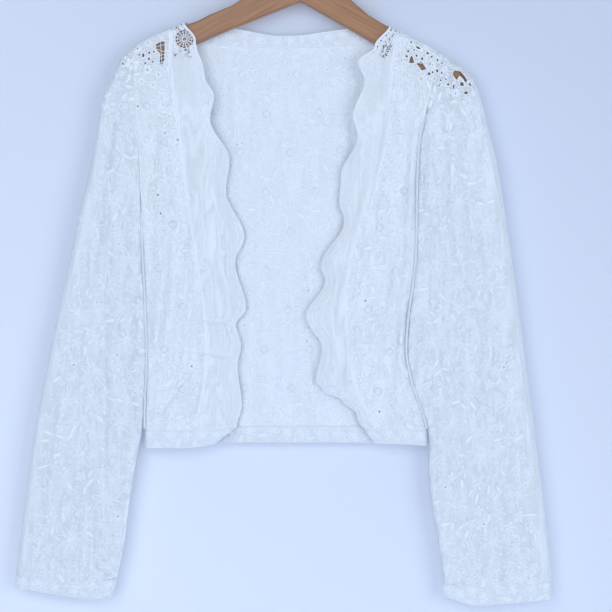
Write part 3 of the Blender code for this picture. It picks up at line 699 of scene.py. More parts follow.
def inside_front(side):
    """How far inside a front panel each (x, drop) is."""
    rim, body, lace, _, hem, _ = SIDES[side]
    turn = 1 if side == "left" else -1

    def inside(x, drop):
        top = np.interp(x, *np.array(sorted(rim[:SHOULDER_POINTS])).T)
        across = np.minimum(turn * (x - smooth(body, drop)), turn * (smooth(lace, drop) - x))
        return np.minimum(across, np.minimum(drop - top, smooth(sorted(hem), x) - drop))

    return inside


def inside_sleeve(side):
    """How far inside a sleeve's face each (x, drop) is."""
    rim, inner, cuff = SLEEVES[side]
    turn = -1 if side == "left" else 1

    def inside(x, drop):
        outer = np.interp(drop, [point[1] for point in rim], [point[0] for point in rim])
        across = np.minimum(turn * (x - smooth(inner, drop)), turn * (outer - x))
        return np.minimum(across, smooth(sorted(cuff), x) - drop)

    return inside


def inside_back(x, drop):
    """How far inside the back panel each (x, drop) is."""
    line = [*sorted(RIM_LEFT[2:4]), *NECK_SEAM, *RIM_RIGHT[2:5]]
    top = np.interp(x, *np.array(line).T)
    across = np.minimum(x - smooth(BODY_LEFT, drop), smooth(BODY_RIGHT, drop) - x)
    return np.minimum(across, np.minimum(drop - top, smooth(HEM_SEAM_BACK, x) - drop))


# Motifs of the lace: fields are positive inside, in millimetres


Motif = namedtuple("Motif", "kind x drop radius turn")


def turned(x, drop, motif):
    """Places in a motif's own frame, along and across its turn."""
    cos, sin = math.cos(motif.turn), math.sin(motif.turn)
    dx, dd = x - motif.x, drop - motif.drop
    return dx * cos + dd * sin, dd * cos - dx * sin


def rotated(ahead, aside, turn, centre=(0, 0)):
    """Points turned about the origin of their own frame, then set at a centre."""
    cos, sin = math.cos(turn), math.sin(turn)
    return np.stack([
        centre[0] + ahead * cos - aside * sin, centre[1] + ahead * sin + aside * cos,
    ], axis=-1)


def petal_width(t, half_width):
    """A petal's or leaf's half width at each share t of its length: blunt, widest past half."""
    return half_width * np.sin(math.pi * np.clip(t, 0, 1) ** 0.9) ** 0.6


def petal_field(ahead, aside, start, length, half_width):
    """A pointed oval that runs ahead from its start."""
    beyond = np.maximum(np.maximum(start - ahead, ahead - start - length), 0)
    return petal_width((ahead - start) / length, half_width) - np.abs(aside) - beyond


def petal_outline(start, length, half_width, count):
    """Points round a petal or leaf that runs ahead from its start."""
    t = (1 - np.cos(np.linspace(0, math.pi, count))) / 2
    side = petal_width(t, half_width)
    ahead = start + t * length
    return np.concatenate([
        np.stack([ahead, side], axis=-1), np.stack([ahead, -side], axis=-1)[-2:0:-1],
    ])


def petals_of(motif):
    """Start, length, half width and turns of a flower's or blossom's petals."""
    radius, count = motif.radius, PETALS[motif.kind]
    share = PETAL_SHARE if motif.kind == "flower" else BLOSSOM_SHARE
    turns = [2 * math.pi * i / count for i in range(count)]
    return HEART_SHARE * radius, (1 - HEART_SHARE) * radius, share * radius, turns


def leaf_size(radius):
    """A leaf's start, length and half width."""
    return -radius * LEAF_LENGTH / 2, radius * LEAF_LENGTH, radius * LEAF_WIDTH


def ellipse_fields(table, x, drop):
    """The fields of a table's ellipses, one by one."""
    for x_at, drop_at, half_width, half_height, degrees in table:
        place = Motif("free", x_at, drop_at, 0, math.radians(degrees))
        ahead, aside = turned(x, drop, place)
        reach = np.hypot(ahead / half_width, aside / half_height)
        yield (1 - reach) * min(half_width, half_height)


def circle_points(radius, count, squash=1.0):
    turns = np.arange(count) * 2 * math.pi / count
    return np.stack([radius * np.cos(turns), radius * squash * np.sin(turns)], axis=-1)


def motif_fields(motif, x, drop):
    """The dense field and the open field of one motif."""
    ahead, aside = turned(x, drop, motif)
    kind, radius = motif.kind, motif.radius
    reach = np.hypot(ahead, aside)
    shut = np.full(np.shape(x), SHUT)
    if kind in PETALS:
        start, length, half_width, turns = petals_of(motif)
        dense = HEART_SHARE * radius - reach
        if kind == "flower":
            dense = np.minimum(dense, reach - FLOWER_EYE)
        for turn in turns:
            cos, sin = math.cos(turn), math.sin(turn)
            field = petal_field(
                ahead * cos + aside * sin, aside * cos - ahead * sin, start, length, half_width
            )
            if kind != "daisy":
                field = np.minimum(field, PETAL_WINDOW - field)
            dense = np.maximum(dense, field)
        return dense, EYELET_RADIUS - reach if kind == "daisy" else shut
    if kind == "free":
        return shut, shut
    if kind == "leaf":
        return petal_field(ahead, aside, *leaf_size(radius)), shut
    if kind == "ring":
        return np.minimum(radius + 0.4 - reach, reach - radius + 1.2), shut
    if kind == "eyelet":
        return radius + 0.8 - reach, EYELET_RADIUS - reach
    corner = (np.abs(ahead) ** GAP_POWER + np.abs(aside) ** GAP_POWER) ** (1 / GAP_POWER)
    return GAP_HALF + 1.6 - corner, GAP_HALF - 0.2 - corner


def motif_outlines(motif):
    """The cords of one motif: points in its own frame, if they close, and how thick."""
    kind, radius = motif.kind, motif.radius
    if kind in PETALS:
        start, length, half_width, turns = petals_of(motif)
        petal_count, heart_count = (6, 8) if kind == "flower" else (4, 6)
        petal = petal_outline(start, length, half_width - 0.2, petal_count)
        heart = circle_points(HEART_SHARE * radius, heart_count)
        return [(heart, True, 1.0), *((rotated(*petal.T, turn), True, 1.0) for turn in turns)]
    if kind == "leaf":
        return [(petal_outline(*leaf_size(radius), 5), True, 1.0)]
    if kind == "free":
        return []
    if kind == "gap":
        return gap_outlines()
    return [(circle_points(EYELET_RADIUS + 0.5 if kind == "eyelet" else radius - 0.4, 6), True, 1.0)]


def gap_ring(radius, count):
    """Points round a four-cornered ring."""
    turns = np.arange(count) * 2 * math.pi / count
    reach = np.abs(np.cos(turns)) ** GAP_POWER + np.abs(np.sin(turns)) ** GAP_POWER
    return circle_points(radius, count) * reach[:, None] ** (-1 / GAP_POWER)


def gap_outlines():
    """The cord round an open gap, and the fine brides and rings that cross it."""
    outer = gap_ring(GAP_HALF + 0.4, 16)
    lines = [(outer, True, 1.0)]
    for radius in GAP_RINGS:
        lines.append((gap_ring(radius, 8), True, GAP_THREAD))
    for end in outer[::2]:
        lines.append((np.array([end * 0.2, end]), False, GAP_THREAD))
    return lines


def placed_outlines(motif):
    """The cords of one motif, in place on the panel."""
    for line, closed, thickness in motif_outlines(motif):
        place = rotated(*line.T, motif.turn, (motif.x, motif.drop))
        yield place, closed, thickness


def free_radius(motifs, x, drop):
    """The room between a place and the nearest motif."""
    if not motifs:
        return 99.0
    places = np.array([(motif.x, motif.drop, motif.radius) for motif in motifs])
    return float((np.hypot(places[:, 0] - x, places[:, 1] - drop) - places[:, 2]).min())


def lay_out(lattice, inside, seed, shoulder=False):
    """Gaps and flowers on the lace's repeat, then blossoms, leaves and eyelets between them."""
    chance = np.random.default_rng(seed)
    motifs = []
    row_count, column_count = lattice.shape[:2]
    for row in range(1, row_count - 1):
        for column in range(1, column_count - 1):
            around = lattice[[row - 1, row + 1, row, row], [column, column, column - 1, column + 1]]
            shortest = np.hypot(*(around - lattice[row, column]).T).min()
            if row % 2 == 0 and (column + row) % 4 == 2 and shortest > GAP_ROOM * GAP_HALF:
                add_motif(motifs, "gap", lattice[row, column], GAP_HALF + GAP_MARGIN, 0)
    for row in range(0, row_count, 2):
        for column in range(column_count):
            if (column + row) % 4 == 0:
                place = lattice[row, column] + chance.uniform(-FLOWER_SHIFT, FLOWER_SHIFT, 2)
                radius = min(free_radius(motifs, *place), FLOWER_RADIUS)
                if radius > LEAST_FLOWER and inside(*place) > FLOWER_MARGIN:
                    add_motif(motifs, "flower", place, radius, chance.uniform(0, math.pi))
    if shoulder:
        motifs = with_shoulder(motifs)
    low, high = lattice.reshape(-1, 2).min(axis=0), lattice.reshape(-1, 2).max(axis=0)
    scatter(motifs, inside, low, high, chance)
    return motifs


def scatter(motifs, inside, low, high, chance):
    """Blossoms, then leaves, then rings and eyelets in the room that is left."""
    for kind, least, spacing, largest in FILLERS:
        across = np.arange(low[0], high[0], spacing)
        down = np.arange(low[1], high[1], spacing)
        places = np.stack(np.meshgrid(across, down), axis=-1).reshape(-1, 2)
        places = places + chance.uniform(-FILLER_SHIFT, FILLER_SHIFT, places.shape) * spacing
        for place in places[inside(*places.T) > FILLER_MARGIN]:
            free = free_radius(motifs, *place) - FILLER_ROOM
            if free > least:
                turn = chance.uniform(0, math.pi)
                pierced = kind == "ring" and chance.random() < EYELET_CHANCE
                add_motif(motifs, "eyelet" if pierced else kind, place, min(free, largest), turn)


def add_motif(motifs, kind, place, radius, turn):
    motifs.append(Motif(kind, float(place[0]), float(place[1]), radius, turn))


def polygon_field(corners, x, drop):
    """Positive inside a polygon, by the distance from its edge."""
    ring = [*corners, corners[0]]
    inside = np.zeros(np.shape(x), bool)
    for (ax, ad), (bx, bd) in zip(ring[:-1], ring[1:]):
        crossing = (ad > drop) != (bd > drop)
        reach = ax + (bx - ax) * (drop - ad) / (bd - ad if bd != ad else 1e-9)
        inside = inside ^ (crossing & (x < reach))
    return np.where(inside, 1, -1) * distance_to(ring, x, drop)


def placed_ellipses(table, grow=0.0):
    """Outlines of a table's ellipses, in place."""
    for x, drop, half_width, half_height, degrees in table:
        points = circle_points(1, 10) * (half_width + grow, half_height + grow)
        yield rotated(*points.T, math.radians(degrees), (x, drop))


def with_shoulder(motifs):
    """The motifs that leave the shoulder's own features free, and the shoulder's daisies."""
    taken = [(x, drop, max(wide, high) + 1.2) for x, drop, wide, high, _ in SHOULDER_EYELETS]
    for corners in (*SHOULDER_OPENINGS, BRIDGED_OPENING[:4], BRIDGED_OPENING[4:8]):
        x, drop = np.mean(corners, axis=0)
        taken.append((x, drop, np.hypot(*(np.array(corners) - (x, drop)).T).max()))
    places = np.array(taken + list(SHOULDER_DAISIES))
    kept = []
    for motif in motifs:
        gaps = np.hypot(*(places[:, :2] - (motif.x, motif.drop)).T) - places[:, 2]
        clear = gaps.min() > motif.radius and motif.kind != "gap"
        if motif.drop > SHOULDER_END or clear:
            kept.append(motif)
    for x, drop, radius in SHOULDER_DAISIES:
        add_motif(kept, "daisy", (x, drop), radius, x % 1.0)
    for x, drop, radius in taken:
        add_motif(kept, "free", (x, drop), radius, 0)
    return kept


def lace_fields(motifs, x, drop, shoulder):
    """Dense and open fields of a panel: motifs on net, and the shoulder's own features."""
    dense = np.full(x.shape, NET_GROUND)
    opened = np.full(x.shape, SHUT)
    if shoulder:
        level = drop + np.where(x < 0, LEFT_SHEER_RISE, 0)
        level = level + 5 * np.sin(x / 8.3) + 4 * np.sin(x / 3.9 + 1)
        dense = np.interp(level, SHOULDER_SHEER, (SHEER_GROUND, NET_GROUND))
    for motif in motifs:
        reach = motif.radius * 1.4 + 2
        near = (np.abs(x - motif.x) < reach) & (np.abs(drop - motif.drop) < reach)
        field, hole = motif_fields(motif, x[near], drop[near])
        dense[near] = np.maximum(dense[near], field)
        opened[near] = np.maximum(opened[near], hole)
    if shoulder:
        dense, opened = shoulder_fields(dense, opened, x, drop)
    return dense, opened


def shoulder_fields(dense, opened, x, drop):
    """Cuts the shoulder's windows, eyelets and larger openings, each with its dense rim."""
    for field in ellipse_fields(SHOULDER_WINDOWS, x, drop):
        dense = np.where(field > 0, np.minimum(dense, SHEER_GROUND), dense)
    for field in ellipse_fields(SHOULDER_EYELETS, x, drop):
        opened = np.maximum(opened, field)
    for corners in (*SHOULDER_OPENINGS, BRIDGED_OPENING):
        opened = np.maximum(opened, polygon_field(corners, x, drop))
    rims = np.where(drop < SHOULDER_END + 6, opened + SHOULDER_RIM, NET_GROUND)
    return np.maximum(dense, rims), opened


# Building cloth


def new_cloth():
    """An empty mesh whose points keep the lace's two fields."""
    sheet = bmesh.new()
    for name in ("dense", "open"):
        sheet.verts.layers.float.new(name)
    return sheet


def lay_grid(sheet, flat, depth_at, outward):
    """Adds a grid to a mesh at flat's (x, drop), facing outwards, and gives each point's values."""
    row_count, column_count = flat.shape[:2]
    faces_before = len(sheet.faces)
    made = bmesh.ops.create_grid(
        sheet, x_segments=column_count - 1, y_segments=row_count - 1, size=1
    )
    verts = made["verts"]
    grid = np.array([vert.co[:2] for vert in verts])
    columns = np.rint((grid[:, 0] + 1) / 2 * (column_count - 1)).astype(int)
    rows = np.rint((1 - grid[:, 1]) / 2 * (row_count - 1)).astype(int)
    x, drop, *more = flat[rows, columns].T
    depth = depth_at(x, drop)
    for vert, place in zip(verts, zip(x * MM, depth * MM, -drop * MM)):
        vert.co = place
    rightwards = flat[-1, -1, 0] > flat[-1, 0, 0]
    if rightwards != (outward == FRONT):
        bmesh.ops.reverse_faces(sheet, faces=list(sheet.faces)[faces_before:])
    return verts, x, drop, *more


def paint(sheet, verts, dense, opened):
    """Keeps the lace's two fields on the cloth's points."""
    dense_layer = sheet.verts.layers.float["dense"]
    open_layer = sheet.verts.layers.float["open"]
    for vert, dense_here, open_here in zip(verts, dense, opened):
        vert[dense_layer] = dense_here
        vert[open_layer] = open_here


def cut_holes(sheet):
    """Takes out the faces that lie wholly inside an opening."""
    layer = sheet.verts.layers.float["open"]
    holes = [face for face in sheet.faces if min(vert[layer] for vert in face.verts) > 0.1]
    bmesh.ops.delete(sheet, geom=holes, context="FACES")


def mesh_from(name, sheet):
    mesh = bpy.data.meshes.new(name)
    sheet.to_mesh(mesh)
    sheet.free()
    return mesh


def add_object(name, data):
    added = bpy.data.objects.new(name, data)
    bpy.context.scene.collection.objects.link(added)
    return added


def add_piece(name, data, material):
    """A mesh or curve as a piece of the part."""
    data.materials.append(material)
    piece = add_object(name, data)
    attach(piece, "root")
    return piece


def finish_piece(name, sheet, material, nodes):
    """The finished cloth as a piece that stands for its CAD nodes."""
    mesh = mesh_from(name, sheet)
    mesh.shade_smooth()
    piece = add_piece(name, mesh, material)
    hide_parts(*nodes)
    return piece


def kept_runs(points, closed, thickness, inside):
    """The stretches of a cord that lie on the panel."""
    kept = inside(*points.T) > CORD_MARGIN
    if kept.all():
        return [(points, closed, thickness)]
    if not closed:
        return []
    first_off = int(np.argmin(kept))
    points, kept = np.roll(points, -first_off, axis=0), np.roll(kept, -first_off)
    runs = np.split(points, np.flatnonzero(np.diff(kept)) + 1)[1::2]
    return [(run, False, thickness) for run in runs if len(run) > 1]


def cords(name, runs, depth_at, outward, radius, material, proud=0.2):
    """Cords that lie on the cloth, as one piece; each run has points, closed and thickness."""
    curve = bpy.data.curves.new(name, "CURVE")
    curve.dimensions = "3D"
    curve.bevel_depth = radius * MM
    curve.bevel_resolution = 0
    curve.resolution_u = 1
    every = np.concatenate([points for points, _, _ in runs])
    depths = depth_at(every[:, 0], every[:, 1]) + outward * proud
    done = 0
    for points, closed, thickness in runs:
        spline = curve.splines.new("POLY")
        spline.points.add(len(points) - 1)
        depth = depths[done : done + len(points)]
        done += len(points)
        places = np.stack([points[:, 0], depth, -points[:, 1]], axis=-1) * MM
        spline.points.foreach_set("co", np.hstack([places, np.ones((len(points), 1))]).ravel())
        spline.points.foreach_set("radius", np.full(len(points), thickness))
        spline.use_cyclic_u = closed
    return add_piece(name, curve, material)


def motif_runs(motifs, inside):
    """The cords of all motifs, where they lie on the panel."""
    runs = []
    for motif in motifs:
        for line, closed, thickness in placed_outlines(motif):
            runs.extend(kept_runs(line, closed, thickness, inside))
    return runs


def shoulder_runs(inside):
    """Cords round the shoulder's eyelets, windows and larger openings."""
    rounds = [*placed_ellipses(SHOULDER_EYELETS, 0.5), *placed_ellipses(SHOULDER_WINDOWS, 0.2)]
    openings = [np.array(corners, float) for corners in (*SHOULDER_OPENINGS, BRIDGED_OPENING)]
    runs = [(line, line, True, 0.9) for line in rounds]
    for line in openings:
        middle = line.mean(axis=0)
        runs.append((line, middle + (line - middle) * 1.08, True, 1.0))
    runs.extend((bride, bride, False, 0.8) for bride in np.array(BRIDES, float))
    return [run for line, *run in runs if (inside(*line.T) > CORD_MARGIN).all()]


def front_seam_runs(side):
    """Cords over the armhole's seam and the edging's seam, and a row of small rings."""
    _, body, lace, _, _, gap = SIDES[side]
    armhole = side_line(body, body[0][0] + 3, ARMHOLE_END, count=60) - (gap, 0)
    edging_seam = side_line(lace, lace[0][0] + 4, SEAM_LEVEL - 3, count=160) - (1.2 * gap, 0)
    runs = [(armhole, False, 0.5), (edging_seam, False, 0.8)]
    start, end, inset = EYELET_ROWS[side]
    for drop in np.arange(start, end, EYELET_ROW_STEP):
        x = float(smooth(lace, drop)) - inset
        runs.append((circle_points(EYELET_ROW_HOLE + 0.5, 6) + (x, drop), True, 0.9))
    return runs


def add_beading(side, dense, x, drop):
    """A dense strip with a row of small sheer windows beside the edging's seam."""
    start, end, inset = EYELET_ROWS[side]
    aside = x - smooth(SIDES[side][2], drop) + inset
    ahead = (drop - start + EYELET_ROW_STEP / 2) % EYELET_ROW_STEP - EYELET_ROW_STEP / 2
    in_row = (drop > start - 3) & (drop < end)
    dense = np.where(in_row, np.maximum(dense, EYELET_ROW_HALF - np.abs(aside)), dense)
    window = in_row & (np.hypot(ahead, aside) < EYELET_ROW_HOLE)
    return np.where(window, SHEER_GROUND, dense)


def side_seam(side, band):
    """A soft roll of cloth down the body's side seam, sunk into the wall and most at its top."""
    _, body, _, _, _, gap = SIDES[side]
    drops = np.linspace(SIDE_SEAM_TOP[side], SEAM_LEVEL - 1, 90)
    line = np.stack([smooth(body, drops) - 1.6 * gap, drops], axis=-1)
    inwards = math.copysign(SIDE_SEAM_INSET, gap)
    sunk = SIDE_SEAM_SUNK + 3 * (1 - np.clip((drops - drops[0]) / 60, 0, 1))
    # The roll takes the doubled lace's darker ground, which paints shade into the valley between body
    # and sleeve
    return cords(
        f"side_seam_{side}_cord", [(line, False, 1.0)],
        lambda x, drop: body_front(x + inwards, drop) + sunk, FRONT, SIDE_SEAM_RADIUS, band,
    )


def make_front(side, lace, band, thread):
    """A front panel of flowered lace, with its motifs' cords and its seams."""
    rim, body, lace_seam, _, _, _ = SIDES[side]
    across = steps(FRONT_ACROSS, FRONT_STEP, True, False, FINE_EDGE)
    down = steps(BODY_DOWN, FRONT_STEP, True, False, FINE_EDGE)
    wide = steps(FRONT_ACROSS, GRID_WIDTH, True, False)
    lattice = front_flat(side, wide, steps(BODY_LATTICE, GRID_HEIGHT, True, False))
    inside = inside_front(side)
    motifs = lay_out(lattice, inside, SEEDS[f"front_{side}"], True)
    sheet = new_cloth()
    verts, x, drop = lay_grid(sheet, front_flat(side, across, down), body_front, FRONT)
    dense, opened = lace_fields(motifs, x, drop, True)
    dense = add_beading(side, dense, x, drop)
    dense = np.maximum(dense, SEAM_STRIP - np.abs(x - smooth(lace_seam, drop)))
    dense = np.maximum(dense, SIDE_STRIP - np.abs(x - smooth(body, drop)))
    dense = np.maximum(dense, SHOULDER_STRIP - distance_to(rim[:SHOULDER_POINTS], x, drop))
    paint(sheet, verts, dense, opened)
    cut_holes(sheet)
    piece = finish_piece(f"front_{side}_lace", sheet, lace, [f"front_{side}"])
    runs = motif_runs(motifs, inside) + shoulder_runs(inside) + front_seam_runs(side)
    cord = cords(f"front_{side}_cords", runs, body_front, FRONT, CORD_RADIUS, thread)
    pieces = [cord, side_seam(side, band)]


def flowered(inside, rim):
    """A sleeve's room for motifs: none in the sheer band along its outer fold."""

    def room(x, drop):
        band = SHEER_FOLD * np.clip((drop - FOLD_TOP) / 60, 0, 1)
        return np.minimum(inside(x, drop), distance_to(rim, x, drop) - band)

    return room


def make_sleeve(side, lace, thread):
    """A sleeve's front and back, joined along the outer fold and the seam under the arm."""
    across = steps(SLEEVE_ACROSS, SLEEVE_STEP, True, True, FINE_EDGE)
    hidden = steps(SLEEVE_ACROSS, HIDDEN_STEP, True, True, FINE_EDGE)
    down = steps(SLEEVE_DOWN, SLEEVE_STEP, False, False)
    rows = np.concatenate([SLEEVE_CAP_ROWS, np.linspace(98, SLEEVE_LATTICE, 21)])
    wide = steps(SLEEVE_ACROSS, WIDE_GRID, True, True)
    lattice = sleeve_flat(side, wide, rows / SLEEVE_LATTICE)
    inside = inside_sleeve(side)
    rim, body = SIDES[side][:2]
    room = flowered(inside, rim)
    fold = np.array([point for point in rim if FOLD_TOP < point[1] < FOLD_END], float)
    fold = fold - (math.copysign(FOLD_LINE, fold[0, 0]), 0)
    sheet = new_cloth()
    faces = (
        ("front", across, sleeve_front, FRONT, True), ("back", hidden, sleeve_back, BACK, False),
    )
    for face, columns, depth_at, outward, shoulder in faces:
        motifs = lay_out(lattice, room, SEEDS[f"sleeve_{side}_{face}"], shoulder)
        verts, x, drop = lay_grid(sheet, sleeve_flat(side, columns, down), depth_at, outward)
        dense, opened = lace_fields(motifs, x, drop, shoulder)
        dense = np.maximum(dense, SIDE_STRIP - np.abs(x - smooth(body, drop)))
        paint(sheet, verts, dense, opened)
        runs = motif_runs(motifs, inside) + [(along(fold, np.linspace(0, 1, 90)), False, 0.9)]
        if shoulder:
            runs = runs + shoulder_runs(inside)
        name = f"sleeve_{side}_{face}_cords"
        cords(name, runs, depth_at, outward, CORD_RADIUS, thread)
    cut_holes(sheet)
    edge_verts = [vert for vert in sheet.verts if vert.is_boundary]
    bmesh.ops.remove_doubles(sheet, verts=edge_verts, dist=FOLD_JOIN * MM)
    nodes = [f"sleeve_{side}_front", f"sleeve_{side}_back"]
    piece = finish_piece(f"sleeve_{side}_lace", sheet, lace, nodes)


def make_back(lace, thread):
    """The back panel, with cords that lie in the cloth and stand out on both of its faces."""
    down = steps(BODY_DOWN, BACK_STEP, True, False, FINE_EDGE)
    lattice = back_flat(WIDE_GRID, steps(BODY_LATTICE, GRID_HEIGHT, True, False))
    motifs = lay_out(lattice, inside_back, SEEDS["back"])
    sheet = new_cloth()
    verts, x, drop = lay_grid(sheet, back_flat(BACK_STEP, down, FINE_EDGE), body_back, BACK)
    paint(sheet, verts, *lace_fields(motifs, x, drop, False))
    cut_holes(sheet)
    piece = finish_piece("back_lace", sheet, lace, ["back_panel"])
    runs = motif_runs(motifs, inside_back)
    cord = cords("back_cords", runs, body_back, BACK, CORD_RADIUS, thread, 0.0)


# Scalloped edging


EDGING_NEAR = np.concatenate([np.arange(0, 12.3, 0.7), [13.5, 15.0]])
EDGING_COLUMNS = 22
EDGING_STEP = 1.5
EDGING_POINTS = 420
EDGING_SHEER = 176.0
EDGING_BAR_STEP = 4.2
EDGING_SLITS = (3.4, 4.7)
EDGING_LINE = 5.6
EDGING_LINES = ((EDGING_LINE, 0.6), (13.0, 0.5))
PICOT_STEP = 4.6
RING_RADIUS = 2.4
RING_HOLE = 1.1
RING_RIM = 2.9


def edging_lines(side, count):
    """Matching points down the edging's seam and down its scalloped edge."""
    _, _, lace, scallop, hem, _ = SIDES[side]
    ends = float(smooth(sorted(hem), smooth(lace, SEAM_LEVEL)))
    seam = along(side_line(lace, lace[0][0], ends - SEAM_GAP, count=200), np.linspace(0, 1, count))
    end = float(smooth(sorted(hem), waved(scallop, SEAM_LEVEL - 1))) - SEAM_GAP
    edge = along(side_line(scallop, scallop[0][0], end, waved, 400), np.linspace(0, 1, count))
    return seam, edge


def make_edging(side, net, thread):
    """Sheer net from the seam to a corded, slit and picoted scalloped edge."""
    count = round(EDGING_DOWN / EDGING_STEP)
    seam, edge = edging_lines(side, count)
    width = np.hypot(*(edge - seam).T)
    near = np.minimum(EDGING_NEAR[None], width[:, None] * np.linspace(0, 0.8, len(EDGING_NEAR))[None])
    far = np.linspace(0, 1, EDGING_COLUMNS)[1:]
    from_edge = np.hstack([near, near[:, -1:] + (width[:, None] - near[:, -1:]) * far])[:, ::-1]
    share = 1 - from_edge / width[:, None]
    flat = seam[:, None] + (edge - seam)[:, None] * share[:, :, None]
    down_edge = np.repeat(length_along(edge)[:, None], flat.shape[1], axis=1)
    grid = np.dstack([flat, from_edge, down_edge])
    sheet = new_cloth()
    verts, x, drop, gap, down = lay_grid(sheet, grid, body_front, FRONT)
    to_seam = np.abs(x - smooth(SIDES[side][2], drop))
    paint(sheet, verts, *edging_fields(gap, down, to_seam, x, drop))
    cut_holes(sheet)
    piece = finish_piece(f"edging_{side}_net", sheet, net, [f"edging_{side}"])
    cord = cords(
        f"edging_{side}_cords", edging_runs(side), body_front, FRONT, FINE_CORD_RADIUS, thread
    )


def edging_fields(gap, down, to_seam, x, drop):
    """From the edge inwards: a thin rim and sheer net; slits, rings and a web by the shoulder."""
    near = np.clip((EDGING_SHEER - drop - 4 * np.sin(x / 3.1)) / 12, 0, 1)
    dense = NET_GROUND + (SHEER_GROUND - NET_GROUND) * near
    dense = np.maximum(dense, 1.8 + 1.4 * near - gap)
    dense = np.maximum(dense, 2.0 - to_seam)
    bars = np.cos(down * 2 * math.pi / EDGING_BAR_STEP) * 1.6 - 0.6
    ladder = np.maximum(0.9 - np.abs(gap - EDGING_LINE), np.minimum(bars, 6.0 - gap))
    dense = np.where(near > 0.5, np.maximum(dense, ladder), dense)
    slits = np.minimum(np.minimum(gap - EDGING_SLITS[0], EDGING_SLITS[1] - gap), -bars)
    slits = np.where(near > 0.5, slits, SHUT)
    for x_at, drop_at in EDGING_RINGS:
        reach = np.hypot(x - x_at, drop - drop_at)
        dense = np.maximum(dense, np.minimum(RING_RIM - reach, reach - RING_HOLE))
    spider = SPIDER_RADIUS - np.hypot(x - SPIDER_CENTRE[0], drop - SPIDER_CENTRE[1])
    spider = np.minimum(spider, np.minimum(gap - 3.0, to_seam - 2.2))
    return dense, np.maximum(slits, spider)


def edging_runs(side):
    """Cords along the scallops, small picots, fine bars of the net, the rings and the web."""
    seam, edge = edging_lines(side, EDGING_POINTS)
    inwards = (seam - edge) / np.hypot(*(seam - edge).T)[:, None]
    width = np.hypot(*(seam - edge).T)
    runs = [(edge + inwards * 0.4, False, 1.2)]
    down = length_along(edge)
    picot = edge + inwards * (1.4 + 0.8 * np.sin(down * 2 * math.pi / PICOT_STEP))[:, None]
    runs.append((picot, False, 0.7))
    for reach, thickness in EDGING_LINES:
        line = (edge + inwards * reach)[width > reach + 6]
        runs.append((line, False, thickness))
    for row in range(14, EDGING_POINTS, 12):
        if width[row] > 24:
            t = np.linspace(6, 13, 4)[:, None]
            runs.append((edge[row] + inwards[row] * t, False, 0.5))
    for x_at, drop_at in EDGING_RINGS:
        if (x_at < 0) == (side == "left"):
            runs.append((circle_points(RING_RADIUS, 8) + (x_at, drop_at), True, 1.0))
    if side == "left":
        for turn in np.arange(SPIDER_RAYS) * 2 * math.pi / SPIDER_RAYS:
            ray = np.array([[SPIDER_EYE], [SPIDER_RADIUS + 0.4]]) * (math.cos(turn), math.sin(turn))
            runs.append((ray + SPIDER_CENTRE, False, 1.5))
        for radius, thickness in SPIDER_RINGS:
            runs.append((circle_points(radius, SPIDER_RAYS) + SPIDER_CENTRE, True, thickness))
    return runs


# Bands of doubled lace


BAND_FOLD = 0.8
BAND_PROUD = -0.1
BAND_ROWS = 15
CUFF_SEGMENTS = 160
CUFF_ROWS = 13
CUFF_JOIN = 0.01


def band_flat(lines, across, rows):
    """A band's (x, drop) between its upper and its lower line."""
    upper, lower = [along(line, across) for line in lines]
    share = np.linspace(0, 1, rows)[:, None, None]
    return upper[None] * (1 - share) + lower[None] * share


def band_motifs(lines, seed):
    """Small blossoms, leaves and rings between a band's upper and lower line."""
    upper, lower = [np.array(sorted(map(tuple, line))).T for line in lines]

    def inside(x, drop):
        deep = np.minimum(drop - np.interp(x, *upper), np.interp(x, *lower) - drop)
        return np.minimum(deep, np.minimum(x - upper[0].min(), upper[0].max() - x)) - 1.0

    motifs = []
    low = (upper[0].min(), min(upper[1].min(), lower[1].min()))
    high = (upper[0].max(), max(upper[1].max(), lower[1].max()))
    scatter(motifs, inside, low, high, np.random.default_rng(seed))
    return motifs, inside


def band_edges(lines, seam):
    """A cord over a band's seam, a zigzag of stitches beside it, and a cord at its free edge."""
    t = np.linspace(0.004, 0.996, 150)
    upper, lower = [along(line, t) for line in lines]
    first, last = (upper, lower) if seam == "above" else (lower, upper)
    inset = (last - first) / np.hypot(*(last - first).T)[:, None]
    wander = (1.9 + 0.7 * np.where(np.arange(len(t)) % 2, 1, -1))[:, None]
    return [
        (first - inset * 0.25, False, 1.9), (first + inset * wander, False, 0.8),
        (last - inset * 0.9, False, 1.5),
    ]


def band_piece(node, sheet, laid, motifs, band, cord_runs, thread):
    """Finishes a band of doubled lace: cord_runs has runs, depth and side for each face."""
    verts, x, drop = laid
    paint(sheet, verts, *lace_fields(motifs, x, drop, False))
    piece = finish_piece(f"{node}_lace", sheet, band, [node])
    wall = piece.modifiers.new("Doubled lace", "SOLIDIFY")
    wall.thickness = BAND_FOLD * MM
    wall.offset = -1
    for face, runs, depth_at, outward in cord_runs:
        name = f"{node}_{face}_cords"
        cords(name, runs, depth_at, outward, FINE_CORD_RADIUS, thread, BAND_PROUD)


def make_band(node, lines, seam, length, depth_at, outward, band, thread):
    """A flat band with cords on the face that is seen: from the front, a back band's inner one."""
    motifs, inside = band_motifs(lines, SEEDS[node])
    sheet = new_cloth()
    flat = band_flat(lines, steps(length, 1.6, True, True, FINE_EDGE), BAND_ROWS)
    laid = lay_grid(sheet, flat, depth_at, outward)
    runs = motif_runs(motifs, inside) + band_edges(lines, seam)
    cord_runs = [("outer", runs, depth_at, outward)]
    if outward == BACK:
        cord_runs.append(("inner", runs, lambda x, drop: depth_at(x, drop) - BAND_FOLD, FRONT))
    band_piece(node, sheet, laid, motifs, band, cord_runs, thread)


